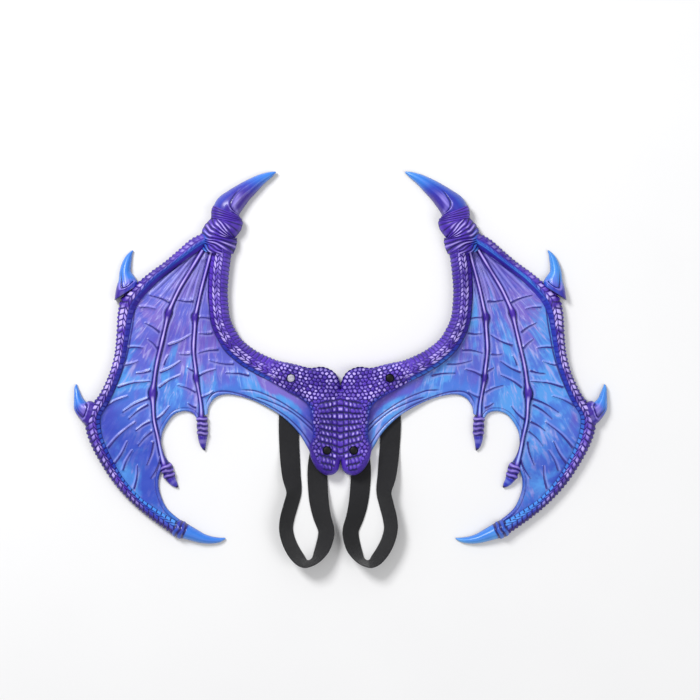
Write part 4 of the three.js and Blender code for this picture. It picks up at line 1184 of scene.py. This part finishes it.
def membrane_finish(name, lilac_shift, deep_from):
    """Watercolour patches of sky blue and lilac that run out from the cuff, inked along the veins and deeper
    blue from the reach deep_from on, with pale paint and painted highlights on the ridges and painted shade
    beside the raised parts. lilac_shift is how much more lilac than blue they are."""
    finish = Finish(name, {"Specular IOR Level": 0.5, "Coat Roughness": 0.2, "Coat Weight": 0.28})
    run = finish.node("ShaderNodeCombineXYZ", {},
                      {"X": finish.value("fan") * 5, "Y": finish.value("reach") * 5})
    patch = finish.noise(2.6, 5, run, 0.7)
    streak = finish.noise(6.5, 5, run, 0.8, 0.6)
    cloud = finish.noise(15, 5, None, 0.6)
    tint = patch * 0.6 + cloud * 0.4 + lilac_shift + 0.12 - finish.value("blue") * 0.2
    base = finish.mix(finish.ease(tint, 0.4, 0.58), colour(78, 152, 232), colour(122, 104, 202))
    base = finish.mix(finish.ease(streak, 0.52, 0.68) * 0.8, base, colour(168, 168, 234))
    base = finish.mix(finish.ease(cloud - streak * 0.5, 0.2, 0.34) * 0.65, base, colour(58, 88, 204))
    violet = finish.ease(finish.noise(9, 3), 0.44, 0.66) * finish.ease(finish.value("blue"), 0.8, 0.1)
    base = finish.mix(violet * 0.75, base, colour(88, 60, 178))
    low = finish.ease(finish.value("reach"), deep_from, deep_from + 0.08) * finish.ease(cloud, 0.25, 0.55)
    base = finish.mix(low * 0.85, base, colour(38, 62, 182))
    # Pale paint and painted highlights on the ridges
    base = finish.mix(finish.value("crest") * 0.65, base, colour(172, 170, 250))
    # Dark ink and painted shade
    dark = finish.value("groove") + (finish.noise(300, 2) - 0.5) * 0.2
    base = finish.mix(finish.ease(dark, 0.2, 0.8), base, colour(28, 24, 128))
    rough = 0.3 + finish.noise(70, 3) * 0.2
    skin_bump = finish.bump(finish.noise(480, 3), 0.1 * MM)
    return finish.wear(Base_Color=base, Roughness=rough, Normal=finish.bump(streak, 0.8 * MM, skin_bump))


def back_finish():
    """The unpainted back of the foam: dark, with open pores and a little overspray."""
    finish = Finish("foam_back", {"Specular IOR Level": 0.3})
    cloud = finish.noise(14, 5)
    base = finish.mix(finish.ease(cloud, 0.4, 0.75), colour(30, 28, 44), colour(46, 40, 78))
    pores = finish.bump(finish.noise(700, 3), 0.25 * MM)
    return finish.wear(Base_Color=base, Roughness=0.72 + cloud * 0.2, Normal=pores)


def elastic_finish():
    """Woven elastic: fine ribs along the band, crossed by the weft."""
    finish = Finish("woven_elastic",
                    {"Specular IOR Level": 0.35, "Sheen Weight": 0.25, "Sheen Roughness": 0.4})
    along, across = finish.value("along"), finish.value("across")
    warp = (across * (2 * math.pi / (1.1 * MM))).math("SINE", across * (2 * math.pi / (1.1 * MM)))
    weft = (along * (2 * math.pi / (0.7 * MM))).math("SINE", along * (2 * math.pi / (0.7 * MM)) + warp * 1.4)
    thread = warp * 0.6 + weft * 0.4
    base = finish.mix(finish.ease(thread, -0.9, 1), colour(12, 12, 14), colour(38, 38, 42))
    base = finish.mix(finish.noise(30, 4) * 0.35, base, colour(22, 22, 25))
    return finish.wear(Base_Color=base, Roughness=0.62 + finish.noise(200, 2) * 0.2,
                       Normal=finish.bump(thread, 0.12 * MM))


def cap_finish(pale):
    """Smooth cap with faint handling marks: near-black, and pale grey and partly metallic for the upper left
    cap.
    """
    name = "pale_grey_cap" if pale else "black_cap_plastic"
    if name in bpy.data.materials:
        return bpy.data.materials[name]
    finish = Finish(name, {"Specular IOR Level": 0.5 if pale else 0.25, "Metallic": 0.35 if pale else 0})
    cloud = finish.noise(300, 4)
    dark, light = colour(6, 6, 9), colour(16, 16, 21)
    if pale:
        dark, light = colour(140, 138, 160), colour(200, 198, 214)
    base = finish.mix(finish.ease(cloud, 0.3, 0.7), dark, light)
    return finish.wear(Base_Color=base, Roughness=0.4 + cloud * 0.25,
                       Normal=finish.bump(finish.noise(900, 2), 0.03 * MM))


# Everything put together


def smooth(piece, degrees):
    """Smooth shading, but for edges sharper than that."""
    bpy.ops.object.select_all(action="DESELECT")
    piece.select_set(True)
    bpy.context.view_layer.objects.active = piece
    bpy.ops.object.shade_smooth_by_angle(angle=math.radians(degrees))


def foam_piece(piece, top, back):
    """Paint on the front, plain foam on the faces that look down, in place of the moulding's solid."""
    piece.data.materials.append(top)
    piece.data.materials.append(back)
    normals = np.zeros(len(piece.data.polygons) * 3, np.float32)
    piece.data.polygons.foreach_get("normal", normals)
    down = normals.reshape(-1, 3)[:, 2] < -0.6
    piece.data.polygons.foreach_set("material_index", down.astype(np.int32))
    smooth(piece, 55)
    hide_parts("wings")
    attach(piece, "root")


def build():
    back = back_finish()
    for side, shift in (("right", 0.06), ("left", -0.08)):
        foam = foam_finish(f"{side}_foam", 1.0, shift)
        claws = claw_finish(f"{side}_claw", 0.05 if side == "right" else -0.08)
        web = membrane_finish(f"{side}_membrane_paint", *((-0.09, 0.3) if side == "right" else (0, 0.25)))
        for piece in half_moulding(side):
            top = claws if "claw" in piece.name else web if "membrane" in piece.name else foam
            foam_piece(piece, top, back)
    pad = centre_pad()
    foam_piece(pad, foam_finish("pad_foam", 0.9, -0.05), back)
    elastic = elastic_finish()
    for side in ("right", "left"):
        band = strap(side)
        band.data.materials.append(elastic)
        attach(band, "root")
    for piece in fixings():
        smooth(piece, 50)
        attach(piece, "root")


def stage():
    """A plain pale floor, soft studio light and the camera straight above."""
    bpy.ops.object.select_all(action="DESELECT")
    bpy.ops.mesh.primitive_plane_add(size=FLOOR_SIDE, location=(0, 0, -FLOOR_GAP))
    floor = bpy.context.active_object
    floor.name = "floor"
    finish = Finish("floor_paper", {"Specular IOR Level": 0.2, "Roughness": 0.9})
    finish.wear(Base_Color=finish.mix(finish.noise(4, 3), (0.86, 0.86, 0.87, 1), (0.9, 0.9, 0.905, 1)))
    floor.data.materials.append(finish.material)
    for name, spot, size, power in (
        ("key_light", (-1.5, 1.7, 2.3), 1.0, 82),
        ("fill_light", (1.9, -0.7, 2.4), 1.8, 26),
    ):
        lamp = bpy.data.lights.new(name, "AREA")
        lamp.size = size
        lamp.energy = power
        holder = bpy.data.objects.new(name, lamp)
        holder.location = spot
        holder.rotation_euler = (-Vector(spot)).to_track_quat("-Z", "Y").to_euler()
        bpy.context.collection.objects.link(holder)
    world = bpy.data.worlds.new("studio")
    world.use_nodes = True
    world.node_tree.nodes["Background"].inputs["Color"].default_value = (1, 1, 1, 1)
    world.node_tree.nodes["Background"].inputs["Strength"].default_value = SKY_LIGHT
    bpy.context.scene.world = world
    bpy.context.scene.view_settings.view_transform = "Standard"
    view = bpy.data.cameras.new("camera")
    view.sensor_width = 36
    view.lens = view.sensor_width * CAMERA_HEIGHT / SEEN_WIDTH
    camera = bpy.data.objects.new("camera", view)
    camera.location = (*CAMERA_SPOT, CAMERA_HEIGHT)
    bpy.context.collection.objects.link(camera)
    bpy.context.scene.camera = camera


build()
stage()
bpy.context.view_layer.update()
